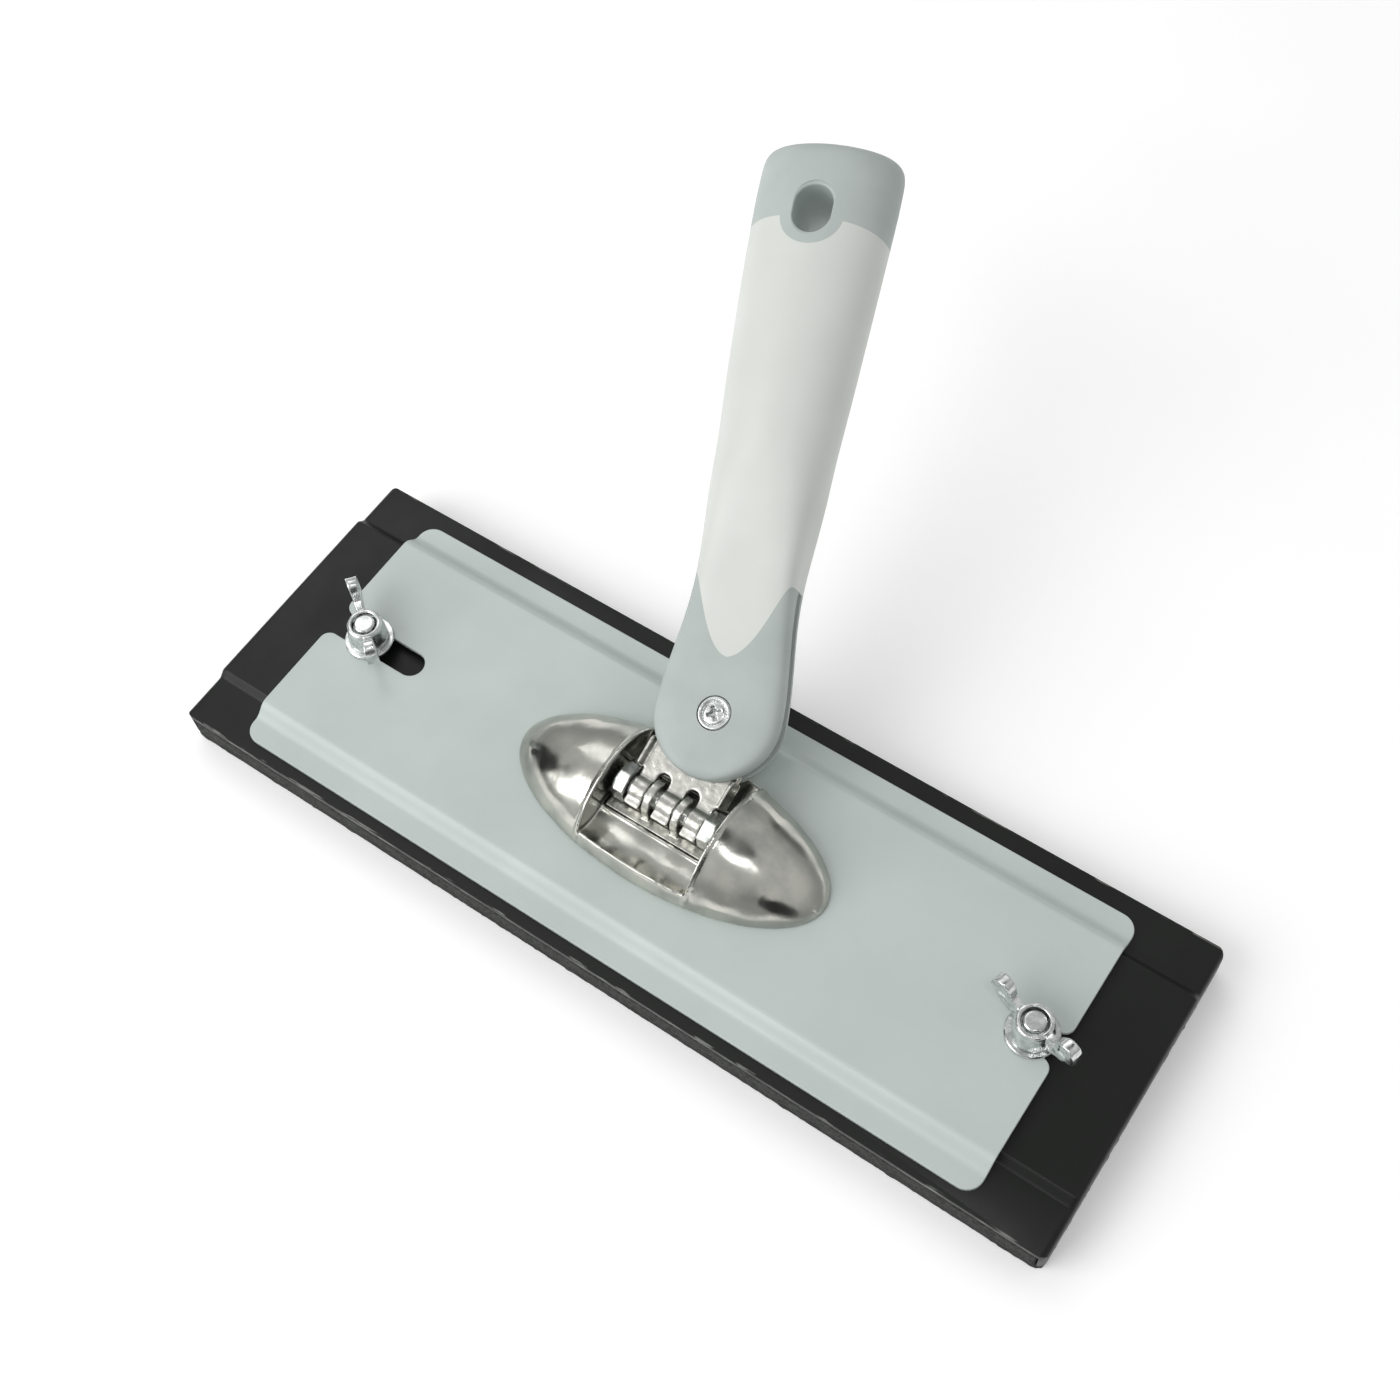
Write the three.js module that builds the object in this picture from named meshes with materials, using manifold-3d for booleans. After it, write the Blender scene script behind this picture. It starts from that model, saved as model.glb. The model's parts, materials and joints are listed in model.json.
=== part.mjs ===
// Swivel-head hand sander: a foam-faced base plate, a clamp plate held down by
// two wing nuts, a die-cast knuckle with a hinge, and a two-tone moulded handle
// that tilts on the hinge and swivels on a screw.
//
// Millimetres, +Z up. The origin is the centre of the foam pad's working face.
// X runs along the base, Y across it, and the handle leans back towards +Y.

import * as THREE from 'three';
import { mergeVertices } from 'three/addons/utils/BufferGeometryUtils.js';
import Module from 'manifold-3d';

// ---------------------------------------------------------------- driving sizes

const GAP = 0.3;            // kept between pieces that lie against each other
const SEAT = 0.1;           // kept between flat faces that rest on each other

// base plate and foam pad
const baseLength = 235;
const baseWidth = 79.5;
const baseCorner = 2.2;
const baseSheet = 1.5;
const stripTop = 10.65;     // height of the base plate's two side strips
const bandRise = 1.6;       // the middle band is pressed up this much
const stripWidth = 12.25;   // flat side strip, from the long edge to the step
const bandSlope = 2;        // width of the band's sloping step
const endLipBottom = 3;     // the ends are turned down to this height
const endLipRadius = 1.2;

// clamp plate, a hat section
const upperX = -0.9;        // everything above the base sits this far off centre
const upperY = -1.0;
const clampEndMargin = 17.5; // bare base plate beyond each end of the clamp plate
const clampSideMargin = 3.9;
const clampCorner = 4;
const clampSheet = 1.2;
const crownRise = 3;
const flangeWidth = 5.55;   // flat flange, from the long edge to the slope
const crownSlope = 2.6;
const slotWidth = 6.7;
const slotMouthRadius = 2.6;
const leftSlotLength = 27;  // from the plate's end to the round end of the slot

// studs, washers and wing nuts (M6)
const threadDiameter = 6;
const leftStudMargin = 27.5; // from the base's left end to the left stud
const rightStudMargin = 25.5;
const studHeadDiameter = 12;
const studHeadHeight = 1.3;
const washerDiameter = 12;
const washerThickness = 1;
const hubHeight = 6.2;
const hubBaseDiameter = 9.8;
const hubTopDiameter = 8.6;
const wingSpan = 24;
const wingRise = 4.8;       // wing tips above the hub's top
const wingThickness = 2.4;
const leftWingAngle = 142;
const rightWingAngle = 164;

// knuckle, an oval dome with a channel across it
const knuckleHalfLength = 41.3;
const knuckleHalfWidth = 18.05;
const knuckleHeight = 14.7;
const knuckleFullness = 0.68;
const knuckleWall = 3;
const channelHalfWidth = 14.5;
const channelFloor = 2.5;
const rimHeight = 4.4;
const rimY = 16.4;
const scoopInnerY = 7;
const bossX = 27;
const bossDiameter = 8;
const knuckleScrewDiameter = 4;
const knuckleScrewHead = 7.6;

// hinge
const hingeHeight = 5.95;   // hinge axis above the knuckle's underside
const hingePinDiameter = 5;
const hexAcrossFlats = 8;
const hexThickness = 3.4;
const earRadius = 4.4;
const earThickness = 2.6;
const earX = 3.9;
const barrelRadius = 3.8;
const barrelHalfLength = 9.7;
const blockHalfWidth = 6;

// bracket, the tongue between hinge and handle
const leanBack = 68.5;      // degrees from upright, resting on the knuckle's rim
const pivotReach = 22.9;    // hinge axis to swivel screw
const tongueThickness = 2.2;
const tongueRadius = 14.2;
const webHalfWidth = 11.2;
const flangeThickness = 1.1;
const flangeHalfDepth = 3.2;

// handle, measured from the swivel screw along the handle
const swivelLean = 18.6;    // degrees that the handle is swivelled to the left
const lugRadius = 14.8;
const lugHalfThickness = 6.1;
const forkGap = 3.2;
const forkDepth = 29;
const waistAlong = 30;
const waistHalfWidth = 11.9;
const gripAlong = 82;
const gripHalfWidth = 15.2;
const gripHalfThickness = 11.5;
const gripForward = 5;      // the grip's middle bends this far forward at the top
const topHalfWidth = 16.9;
const topStart = 121;
const topEnd = 133.8;
const skinThickness = 1.6;
const hangHoleAlong = 115.6;
const hangHoleWidth = 9;
const hangHoleLength = 11.4;
const hangHoleRing = 7.5;
const tipAlong = 12.9;      // the pale body reaches down to here in a rounded V

// swivel screw, barrel nut and friction washers
const screwHeadDiameter = 7.8;
const screwHeadHeight = 2.2;
const screwDiameter = 4;
const barrelNutDiameter = 6;
const frictionWasherDiameter = 11;
const frictionWasherThickness = 0.3;

// ---------------------------------------------------------------- levels that follow

const bandTop = stripTop + bandRise;
const bandHalfTop = baseWidth / 2 - stripWidth - bandSlope;
const foamTop = stripTop - baseSheet - GAP;
const flangeTop = stripTop + SEAT + clampSheet;
const crownTop = flangeTop + crownRise;
const clampLength = baseLength - 2 * clampEndMargin;
const clampWidth = baseWidth - 2 * clampSideMargin;
const crownHalfTop = clampWidth / 2 - flangeWidth - crownSlope;
const leftStudX = -baseLength / 2 + leftStudMargin;
const rightStudX = baseLength / 2 - rightStudMargin;
const washerBottom = crownTop + SEAT;
const hubBottom = washerBottom + washerThickness + SEAT;
const studTop = hubBottom + hubHeight;
const knuckleBottom = crownTop + SEAT;
const hingeZ = knuckleBottom + hingeHeight;
const hexCornerRadius = hexAcrossFlats / 2 / Math.cos(Math.PI / 6);
const troughRadius = hexCornerRadius + GAP;
const flangeStart = troughRadius + 0.2;
const rightSlotLength = upperX + clampLength / 2 - rightStudX + slotWidth / 2 + GAP;

// ---------------------------------------------------------------- solids

const wasm = await Module();
wasm.setup();

// A closed three.js geometry becomes a solid that can be cut and joined.
function toSolid(geometry) {
  const bare = geometry.clone();
  bare.deleteAttribute('normal');
  bare.deleteAttribute('uv');
  const merged = mergeVertices(bare, 1e-4);
  const points = merged.attributes.position.array;
  const corners = [];
  for (let i = 0; i < merged.index.count; i += 3) {
    const [a, b, c] = [0, 1, 2].map((k) => merged.index.getX(i + k));
    if (a !== b && b !== c && c !== a) corners.push(a, b, c);
  }
  if (signedVolume(points, corners) < 0) corners.reverse();
  const mesh = new wasm.Mesh({
    numProp: 3,
    vertProperties: new Float32Array(points),
    triVerts: new Uint32Array(corners),
  });
  return new wasm.Manifold(mesh);
}

function signedVolume(points, corners) {
  const at = (i) => new THREE.Vector3().fromArray(points, 3 * i);
  let volume = 0;
  for (let i = 0; i < corners.length; i += 3) {
    volume += at(corners[i]).dot(at(corners[i + 1]).cross(at(corners[i + 2]))) / 6;
  }
  return volume;
}

function toGeometry(solid) {
  const mesh = solid.getMesh();
  const geometry = new THREE.BufferGeometry();
  geometry.setAttribute('position', new THREE.BufferAttribute(mesh.vertProperties, 3));
  geometry.setIndex(new THREE.BufferAttribute(mesh.triVerts, 1));
  geometry.computeVertexNormals();
  return geometry;
}

function join(first, ...others) {
  return others.reduce((whole, piece) => whole.add(piece), first);
}

function cut(blank, ...tools) {
  return tools.reduce((rest, tool) => rest.subtract(tool), blank);
}

// An outline in X and Y, raised from z0 to z1.
function prismZ(shape, z0, z1, curveSegments = 12) {
  const raised = new THREE.ExtrudeGeometry(shape, { depth: z1 - z0, bevelEnabled: false, curveSegments });
  return toSolid(raised.translate(0, 0, z0));
}

// An outline in Y and Z, drawn out from x0 to x1.
function prismX(shape, x0, x1, curveSegments = 12) {
  const drawn = new THREE.ExtrudeGeometry(shape, { depth: x1 - x0, bevelEnabled: false, curveSegments });
  const turn = new THREE.Matrix4().makeBasis(
    new THREE.Vector3(0, 1, 0),
    new THREE.Vector3(0, 0, 1),
    new THREE.Vector3(1, 0, 0),
  );
  return toSolid(drawn.translate(0, 0, x0).applyMatrix4(turn));
}

// An outline in X and Z, drawn out from y0 to y1.
function prismY(shape, y0, y1, curveSegments = 12) {
  const drawn = new THREE.ExtrudeGeometry(shape, { depth: y1 - y0, bevelEnabled: false, curveSegments });
  return toSolid(drawn.rotateX(Math.PI / 2).translate(0, y1, 0));
}

function block(x0, x1, y0, y1, z0, z1) {
  const box = new THREE.BoxGeometry(x1 - x0, y1 - y0, z1 - z0);
  return toSolid(box.translate((x0 + x1) / 2, (y0 + y1) / 2, (z0 + z1) / 2));
}

function rodZ(radius, z0, z1, x = 0, y = 0, sides = 24, topRadius = radius) {
  const rod = new THREE.CylinderGeometry(topRadius, radius, z1 - z0, sides);
  return toSolid(rod.rotateX(Math.PI / 2).translate(x, y, (z0 + z1) / 2));
}

function rodX(radius, x0, x1, y = 0, z = 0, sides = 24) {
  const rod = new THREE.CylinderGeometry(radius, radius, x1 - x0, sides);
  return toSolid(rod.rotateZ(-Math.PI / 2).translate((x0 + x1) / 2, y, z));
}

function polygon(points) {
  return new THREE.Shape(points.map(([x, y]) => new THREE.Vector2(x, y)));
}

function roundedRectangle(x0, x1, y0, y1, radius) {
  const shape = new THREE.Shape();
  shape.moveTo(x0 + radius, y0);
  shape.lineTo(x1 - radius, y0);
  shape.absarc(x1 - radius, y0 + radius, radius, -Math.PI / 2, 0);
  shape.absarc(x1 - radius, y1 - radius, radius, 0, Math.PI / 2);
  shape.absarc(x0 + radius, y1 - radius, radius, Math.PI / 2, Math.PI);
  shape.absarc(x0 + radius, y0 + radius, radius, Math.PI, 1.5 * Math.PI);
  return shape;
}

// Section of a sheet pressed up along its middle, with an even wall.
function hatSection(halfWidth, sideTop, rise, halfTop, slope, sheet) {
  const angle = Math.atan2(rise, slope);
  const shift = sheet * Math.tan(angle / 2);
  const top = [
    [halfWidth, sideTop],
    [halfTop + slope, sideTop],
    [halfTop, sideTop + rise],
  ];
  const under = [
    [halfWidth, sideTop - sheet],
    [halfTop + slope - shift, sideTop - sheet],
    [halfTop - shift, sideTop + rise - sheet],
  ];
  const flip = ([y, z]) => [-y, z];
  const upper = [...top, ...top.map(flip).reverse()];
  const lower = [...under.map(flip), ...[...under].reverse()];
  return polygon([...upper, ...lower]);
}

function named(name, solid, material) {
  const mesh = new THREE.Mesh(toGeometry(solid), material);
  mesh.name = name;
  return mesh;
}

function finish(color, roughness, metalness) {
  return new THREE.MeshStandardMaterial({ color, roughness, metalness });
}

const blackFoam = finish(0x262826, 0.95, 0);
const blackSheet = finish(0x1c1f1d, 0.45, 0.2);
const greyPaint = finish(0xbdc6c3, 0.4, 0.1);
const brightZinc = finish(0xc9cdcc, 0.3, 1);
const castZinc = finish(0x9fa19e, 0.35, 1);
const whitePlastic = finish(0xdde1dc, 0.45, 0);
const greyRubber = finish(0xb6bebb, 0.6, 0);
const nylon = finish(0xe8e6dc, 0.5, 0);

const sander = new THREE.Group();

// ---------------------------------------------------------------- base

// Foam pad, glued under the base plate between its two turned-down ends.
function foamPad() {
  const halfLength = baseLength / 2;
  const halfWidth = baseWidth / 2;
  const tucked = halfLength - baseSheet - GAP;
  const sole = roundedRectangle(-halfLength, halfLength, -halfWidth, halfWidth, baseCorner);
  const lipRoom = endLipBottom - GAP;
  return cut(
    prismZ(sole, 0, foamTop, 6),
    block(tucked, halfLength + 1, -halfWidth - 1, halfWidth + 1, lipRoom, foamTop + 1),
    block(-halfLength - 1, -tucked, -halfWidth - 1, halfWidth + 1, lipRoom, foamTop + 1),
  );
}

// Base plate: sheet with its middle band pressed up and its ends turned down.
function basePlate() {
  const halfLength = baseLength / 2;
  const halfWidth = baseWidth / 2;
  const section = hatSection(halfWidth, stripTop, bandRise, bandHalfTop, bandSlope, baseSheet);
  let plate = prismX(section, -halfLength, halfLength);
  for (const side of [-1, 1]) {
    const outer = side * halfLength;
    const inner = side * (halfLength - baseSheet);
    const [x0, x1] = [Math.min(outer, inner), Math.max(outer, inner)];
    plate = plate.add(block(x0, x1, -halfWidth, halfWidth, endLipBottom, stripTop - baseSheet / 2));
    const riser = bandHalfTop - baseSheet;
    plate = plate.add(block(x0, x1, -riser, riser, endLipBottom, bandTop - baseSheet / 2));
  }
  const plan = roundedRectangle(-halfLength, halfLength, -halfWidth, halfWidth, baseCorner);
  const side = new THREE.Shape();
  side.moveTo(-halfLength, 0);
  side.lineTo(halfLength, 0);
  side.lineTo(halfLength, bandTop - endLipRadius);
  side.absarc(halfLength - endLipRadius, bandTop - endLipRadius, endLipRadius, 0, Math.PI / 2);
  side.lineTo(-halfLength + endLipRadius, bandTop);
  side.absarc(-halfLength + endLipRadius, bandTop - endLipRadius, endLipRadius, Math.PI / 2, Math.PI);
  plate = plate.intersect(prismZ(plan, 0, bandTop + 1, 6));
  plate = plate.intersect(prismY(side, -halfWidth, halfWidth, 6));
  const hole = threadDiameter / 2 + GAP;
  return cut(
    plate,
    rodZ(hole, 0, bandTop + 1, leftStudX, upperY, 24),
    rodZ(hole, 0, bandTop + 1, rightStudX, upperY, 24),
  );
}

// Stud: a flat head under the pressed band and a shank up through both plates.
function stud() {
  const headBottom = stripTop - baseSheet + SEAT;
  return join(
    rodZ(studHeadDiameter / 2, headBottom, headBottom + studHeadHeight, 0, 0, 24),
    rodZ(threadDiameter / 2, headBottom, studTop, 0, 0, 24),
  );
}

sander.add(named('foam_pad', foamPad(), blackFoam));
sander.add(named('base_plate', basePlate(), blackSheet));

// ---------------------------------------------------------------- wing nuts

function washer() {
  const disc = rodZ(washerDiameter / 2, 0, washerThickness, 0, 0, 24);
  return cut(disc, rodZ(threadDiameter / 2 + GAP, -1, washerThickness + 1, 0, 0, 24));
}

// Wing nut: a tapered hub with two wings that sweep out and up.
function wingNut() {
  const tipX = wingSpan / 2;
  const tipZ = hubHeight + wingRise;
  const rootX = hubTopDiameter / 2 - 1;
  const wing = new THREE.Shape();
  wing.moveTo(rootX, 0.6);
  wing.quadraticCurveTo(tipX - 3.6, 1.8, tipX, tipZ - 4.4);
  wing.quadraticCurveTo(tipX + 0.2, tipZ, tipX - 3, tipZ);
  wing.quadraticCurveTo(tipX - 5.4, tipZ - 0.2, tipX - 6.4, hubHeight + 1.2);
  wing.lineTo(rootX, hubHeight - 0.8);
  const half = wingThickness / 2;
  const rightWing = prismY(wing, -half, half, 5);
  const leftWing = rightWing.rotate([0, 0, 180]);
  const hub = rodZ(hubBaseDiameter / 2, 0, hubHeight, 0, 0, 24, hubTopDiameter / 2);
  const bore = rodZ(threadDiameter / 2 + GAP, -1, hubHeight + 1, 0, 0, 24);
  return cut(join(hub, rightWing, leftWing), bore);
}

const fasteners = [
  { side: 'left', x: leftStudX, angle: leftWingAngle },
  { side: 'right', x: rightStudX, angle: rightWingAngle },
];

for (const { side, x, angle } of fasteners) {
  const studMesh = named(`stud_${side}`, stud(), brightZinc);
  studMesh.position.set(x, upperY, 0);
  const washerMesh = named(`washer_${side}`, washer(), brightZinc);
  washerMesh.position.set(x, upperY, washerBottom);
  const nutMesh = named(`wing_nut_${side}`, wingNut(), brightZinc);
  nutMesh.position.set(x, upperY, hubBottom);
  nutMesh.rotation.z = THREE.MathUtils.degToRad(angle);
  sander.add(studMesh, washerMesh, nutMesh);
}

// ---------------------------------------------------------------- clamp plate

// A slot that is open at the plate's end, with a rounded mouth. It runs inwards
// from the end at x = 0 towards +X, and its inner end is round.
function slotCutter(length) {
  const half = slotWidth / 2;
  const flare = slotMouthRadius;
  const shape = new THREE.Shape();
  shape.moveTo(-1, -half - flare);
  shape.lineTo(0, -half - flare);
  shape.absarc(flare, -half - flare, flare, Math.PI, Math.PI / 2, true);
  shape.lineTo(length - half, -half);
  shape.absarc(length - half, 0, half, -Math.PI / 2, Math.PI / 2);
  shape.lineTo(flare, half);
  shape.absarc(flare, half + flare, flare, 1.5 * Math.PI, Math.PI, true);
  shape.lineTo(-1, half + flare);
  return prismZ(shape, -1, crownRise + 2, 8);
}

function clampPlate() {
  const halfLength = clampLength / 2;
  const halfWidth = clampWidth / 2;
  const section = hatSection(halfWidth, clampSheet, crownRise, crownHalfTop, crownSlope, clampSheet);
  const plan = roundedRectangle(-halfLength, halfLength, -halfWidth, halfWidth, clampCorner);
  const sheet = prismX(section, -halfLength, halfLength).intersect(prismZ(plan, -1, crownRise + 2, 6));
  const leftSlot = slotCutter(leftSlotLength).translate([-halfLength, 0, 0]);
  const rightSlot = slotCutter(rightSlotLength).rotate([0, 0, 180]).translate([halfLength, 0, 0]);
  const screwHole = knuckleScrewDiameter / 2 + GAP;
  return cut(
    sheet,
    leftSlot,
    rightSlot,
    rodZ(screwHole, 0, crownRise + 2, -bossX, 0, 20),
    rodZ(screwHole, 0, crownRise + 2, bossX, 0, 20),
  );
}

const clampMesh = named('clamp_plate', clampPlate(), greyPaint);
clampMesh.position.set(upperX, upperY, stripTop + SEAT);
sander.add(clampMesh);

// ---------------------------------------------------------------- knuckle

const knuckleGroup = new THREE.Group();
knuckleGroup.position.set(upperX, upperY, knuckleBottom);
sander.add(knuckleGroup);

// An oval dome: a turned profile stretched to the oval's two half lengths.
function dome(halfLength, halfWidth, height) {
  const steps = 9;
  const profile = [new THREE.Vector2(0, 0)];
  for (let i = 0; i < steps; i += 1) {
    const angle = (i / steps) * (Math.PI / 2);
    profile.push(new THREE.Vector2(Math.cos(angle), Math.sin(angle) ** (2 * knuckleFullness)));
  }
  profile.push(new THREE.Vector2(0, 1));
  const turned = new THREE.LatheGeometry(profile, 36).rotateX(Math.PI / 2);
  return toSolid(turned.scale(halfLength, halfWidth, height));
}

// The channel's floor: a scoop that falls from the rim and a flat by the hinge.
function channelCutter() {
  const shape = new THREE.Shape();
  shape.moveTo(-30, rimHeight);
  shape.lineTo(-rimY, rimHeight);
  shape.quadraticCurveTo(-rimY + 4.4, 1.1, -scoopInnerY, channelFloor - 0.2);
  shape.lineTo(-scoopInnerY, channelFloor);
  shape.lineTo(scoopInnerY, channelFloor);
  shape.lineTo(scoopInnerY, channelFloor - 0.2);
  shape.quadraticCurveTo(rimY - 4.4, 1.1, rimY, rimHeight);
  shape.lineTo(30, rimHeight);
  shape.lineTo(30, knuckleHeight + 5);
  shape.lineTo(-30, knuckleHeight + 5);
  return prismX(shape, -channelHalfWidth, channelHalfWidth, 8);
}

// Knuckle casting: hollow under each half of the dome, with a boss for a screw.
function knuckle() {
  const outer = dome(knuckleHalfLength, knuckleHalfWidth, knuckleHeight);
  const inner = dome(
    knuckleHalfLength - knuckleWall,
    knuckleHalfWidth - knuckleWall,
    knuckleHeight - knuckleWall,
  );
  const middle = channelHalfWidth + knuckleWall;
  const hollow = cut(inner, block(-middle, middle, -30, 30, -1, 30)).translate([0, 0, -0.01]);
  const windowHalf = channelHalfWidth - GAP;
  const windowWidth = blockHalfWidth + GAP;
  let casting = cut(outer, hollow, channelCutter());
  casting = cut(casting, block(-windowHalf, windowHalf, -windowWidth, windowWidth, -1, knuckleHeight));
  for (const side of [-1, 1]) {
    const boss = rodZ(bossDiameter / 2, 0, knuckleHeight, side * bossX, 0, 24).intersect(outer);
    const thread = rodZ(knuckleScrewDiameter / 2 + GAP, -1, 6 + GAP, side * bossX, 0, 20);
    casting = casting.add(boss).subtract(thread);
  }
  return casting;
}

// Screw from below: a thin head under the clamp plate, a shank into the boss.
function knuckleScrew() {
  const headTop = -SEAT - clampSheet - SEAT;
  return join(
    rodZ(knuckleScrewHead / 2, headTop - 1, headTop, 0, 0, 24),
    rodZ(knuckleScrewDiameter / 2, headTop - 1, 6, 0, 0, 20),
  );
}

// Hinge block: a bar in the knuckle's window with two round ears for the pin.
function hingeBlock() {
  const halfLength = channelHalfWidth - 2 * GAP;
  const bar = block(-halfLength, halfLength, -blockHalfWidth, blockHalfWidth, 0, channelFloor);
  let body = cut(bar, rodX(troughRadius, -20, 20, 0, hingeHeight, 40));
  for (const side of [-1, 1]) {
    const x0 = side * earX - earThickness / 2;
    const x1 = side * earX + earThickness / 2;
    const post = block(x0, x1, -earRadius, earRadius, 0.4, hingeHeight);
    body = join(body, post, rodX(earRadius, x0, x1, 0, hingeHeight, 24));
  }
  return cut(body, rodX(hingePinDiameter / 2 + GAP, -10, 10, 0, hingeHeight, 24));
}

function hexagon(x0, x1) {
  return rodX(hexCornerRadius, x0, x1, 0, 0, 6);
}

function hingeBolt() {
  const head = barrelHalfLength + GAP;
  const end = head + hexThickness;
  return join(hexagon(-end, -head), rodX(hingePinDiameter / 2, -head - 1, end, 0, 0, 24));
}

function hingeNut() {
  const inner = barrelHalfLength + GAP;
  const nut = hexagon(inner, inner + hexThickness);
  return cut(nut, rodX(hingePinDiameter / 2 + 0.15, 0, 20, 0, 0, 24));
}

knuckleGroup.add(named('knuckle', knuckle(), castZinc));
knuckleGroup.add(named('hinge_block', hingeBlock(), castZinc));
for (const [side, x] of [['left', -bossX], ['right', bossX]]) {
  const screw = named(`knuckle_screw_${side}`, knuckleScrew(), brightZinc);
  screw.position.x = x;
  knuckleGroup.add(screw);
}

// ---------------------------------------------------------------- hinge and bracket

// The hinge group turns about X. Inside it Y runs up the bracket and Z faces out.
const hingePlace = new THREE.Group();
hingePlace.position.set(upperX, upperY, hingeZ);
sander.add(hingePlace);
hingePlace.add(named('hinge_bolt', hingeBolt(), brightZinc));
hingePlace.add(named('hinge_nut', hingeNut(), brightZinc));

const tilt = new THREE.Group();
tilt.rotation.x = THREE.MathUtils.degToRad(90 - leanBack);
hingePlace.add(tilt);

// Bracket: three hinge barrels, a web with two side flanges, and a round tongue.
function bracket() {
  const half = tongueThickness / 2;
  const webStart = troughRadius;
  let body = join(
    block(-webHalfWidth, webHalfWidth, webStart, pivotReach, -half, half),
    block(-barrelHalfLength, barrelHalfLength, 0, webStart + 1, -half, half),
    rodX(barrelRadius, -barrelHalfLength, barrelHalfLength, 0, 0, 24),
    rodZ(tongueRadius, -half, half, 0, pivotReach, 40),
  );
  const flangeMiddle = webHalfWidth - flangeThickness / 2;
  const keepOff = lugRadius + GAP;
  const flangeEnd = pivotReach - Math.sqrt(keepOff ** 2 - flangeMiddle ** 2) - GAP;
  for (const side of [-1, 1]) {
    const outer = side * webHalfWidth;
    const inner = side * (webHalfWidth - flangeThickness);
    const [x0, x1] = [Math.min(outer, inner), Math.max(outer, inner)];
    body = body.add(block(x0, x1, flangeStart, flangeEnd, -flangeHalfDepth, flangeHalfDepth));
    const notch = earThickness / 2 + GAP + 0.05;
    const ear = side * earX;
    const notchMiddle = earRadius + GAP - Math.sqrt(notch ** 2 - (earThickness / 2) ** 2);
    body = cut(
      body,
      block(ear - notch, ear + notch, -barrelRadius - 1, notchMiddle, -5, 5),
      rodZ(notch, -5, 5, ear, notchMiddle, 24),
    );
  }
  return cut(
    body,
    rodX(hingePinDiameter / 2 + GAP, -20, 20, 0, 0, 24),
    rodZ(screwDiameter / 2 + GAP + 0.6, -5, 5, 0, pivotReach, 24),
  );
}

tilt.add(named('bracket', bracket(), castZinc));

// ---------------------------------------------------------------- handle

const swivel = new THREE.Group();
swivel.position.y = pivotReach;
swivel.rotation.z = THREE.MathUtils.degToRad(swivelLean);
tilt.add(swivel);

// Half width of the handle at a distance along it.
function handleHalfWidth(along) {
  const widths = new THREE.SplineCurve([
    new THREE.Vector2(0, lugRadius),
    new THREE.Vector2(waistAlong, waistHalfWidth),
    new THREE.Vector2((waistAlong + gripAlong) / 2, (waistHalfWidth + gripHalfWidth) / 2),
    new THREE.Vector2(gripAlong, gripHalfWidth),
    new THREE.Vector2(topStart, topHalfWidth),
  ]);
  if (along <= 0) return Math.sqrt(Math.max(lugRadius ** 2 - along ** 2, 0));
  if (along >= topStart) {
    const share = Math.min((along - topStart) / (topEnd - topStart), 1);
    return topHalfWidth * (1 - share ** 5) ** (1 / 4);
  }
  const points = widths.getPoints(80);
  const next = points.findIndex((point) => point.x >= along);
  const [a, b] = [points[Math.max(next - 1, 0)], points[next]];
  const share = b.x > a.x ? (along - a.x) / (b.x - a.x) : 0;
  return a.y + share * (b.y - a.y);
}

// Half thickness: flat cheeks at the lug, swelling into the oval grip.
function handleHalfThickness(along) {
  if (along <= 0) {
    const share = THREE.MathUtils.clamp((-along - lugRadius + 3) / 3, 0, 1);
    return lugHalfThickness - 2.4 * (1 - Math.sqrt(1 - share ** 2));
  }
  if (along >= topStart) {
    const share = Math.min((along - topStart) / (topEnd - topStart), 1);
    return gripHalfThickness * (1 - share ** 5) ** (1 / 2.6);
  }
  const share = THREE.MathUtils.smoothstep(along, waistAlong - 14, waistAlong + 34);
  return lugHalfThickness + share * (gripHalfThickness - lugHalfThickness);
}

// How far the middle of the handle lies in front of the tongue's middle.
function handleForward(along) {
  return gripForward * THREE.MathUtils.smoothstep(along, waistAlong - 14, topStart);
}

// The handle's whole outer form, or the same form drawn in by an inset.
function handleForm(inset) {
  const stations = [];
  for (let i = 1; i <= 6; i += 1) stations.push(-lugRadius * Math.cos((i / 6) * (Math.PI / 2)));
  for (let along = 10; along < topStart; along += 10) stations.push(along);
  for (let i = 0; i < 6; i += 1) {
    stations.push(topStart + (topEnd - topStart) * Math.sin((i / 6) * (Math.PI / 2)));
  }
  const profile = [new THREE.Vector2(0, -lugRadius)];
  for (const along of stations) profile.push(new THREE.Vector2(1, along));
  profile.push(new THREE.Vector2(0, topEnd));
  const sides = 28;
  const form = new THREE.LatheGeometry(profile, sides);
  const place = form.attributes.position;
  for (let i = 0; i < place.count; i += 1) {
    const along = place.getY(i);
    const square = 2 + 3 * (1 - THREE.MathUtils.smoothstep(along, waistAlong - 10, waistAlong + 36));
    const reach = Math.hypot(place.getX(i), place.getZ(i));
    const angle = Math.atan2(place.getZ(i), place.getX(i));
    const bend = (value) => Math.sign(value) * Math.abs(value) ** (2 / square);
    const halfWidth = Math.max(handleHalfWidth(along) - inset, 0.4);
    const halfThickness = Math.max(handleHalfThickness(along) - inset, 0.4);
    place.setX(i, reach * bend(Math.cos(angle)) * halfWidth);
    place.setZ(i, handleForward(along) + reach * bend(Math.sin(angle)) * halfThickness);
    const middle = (topEnd - lugRadius) / 2;
    const stretch = (topEnd + lugRadius - 2 * inset) / (topEnd + lugRadius);
    place.setY(i, middle + (along - middle) * stretch);
  }
  return toSolid(form);
}

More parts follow.
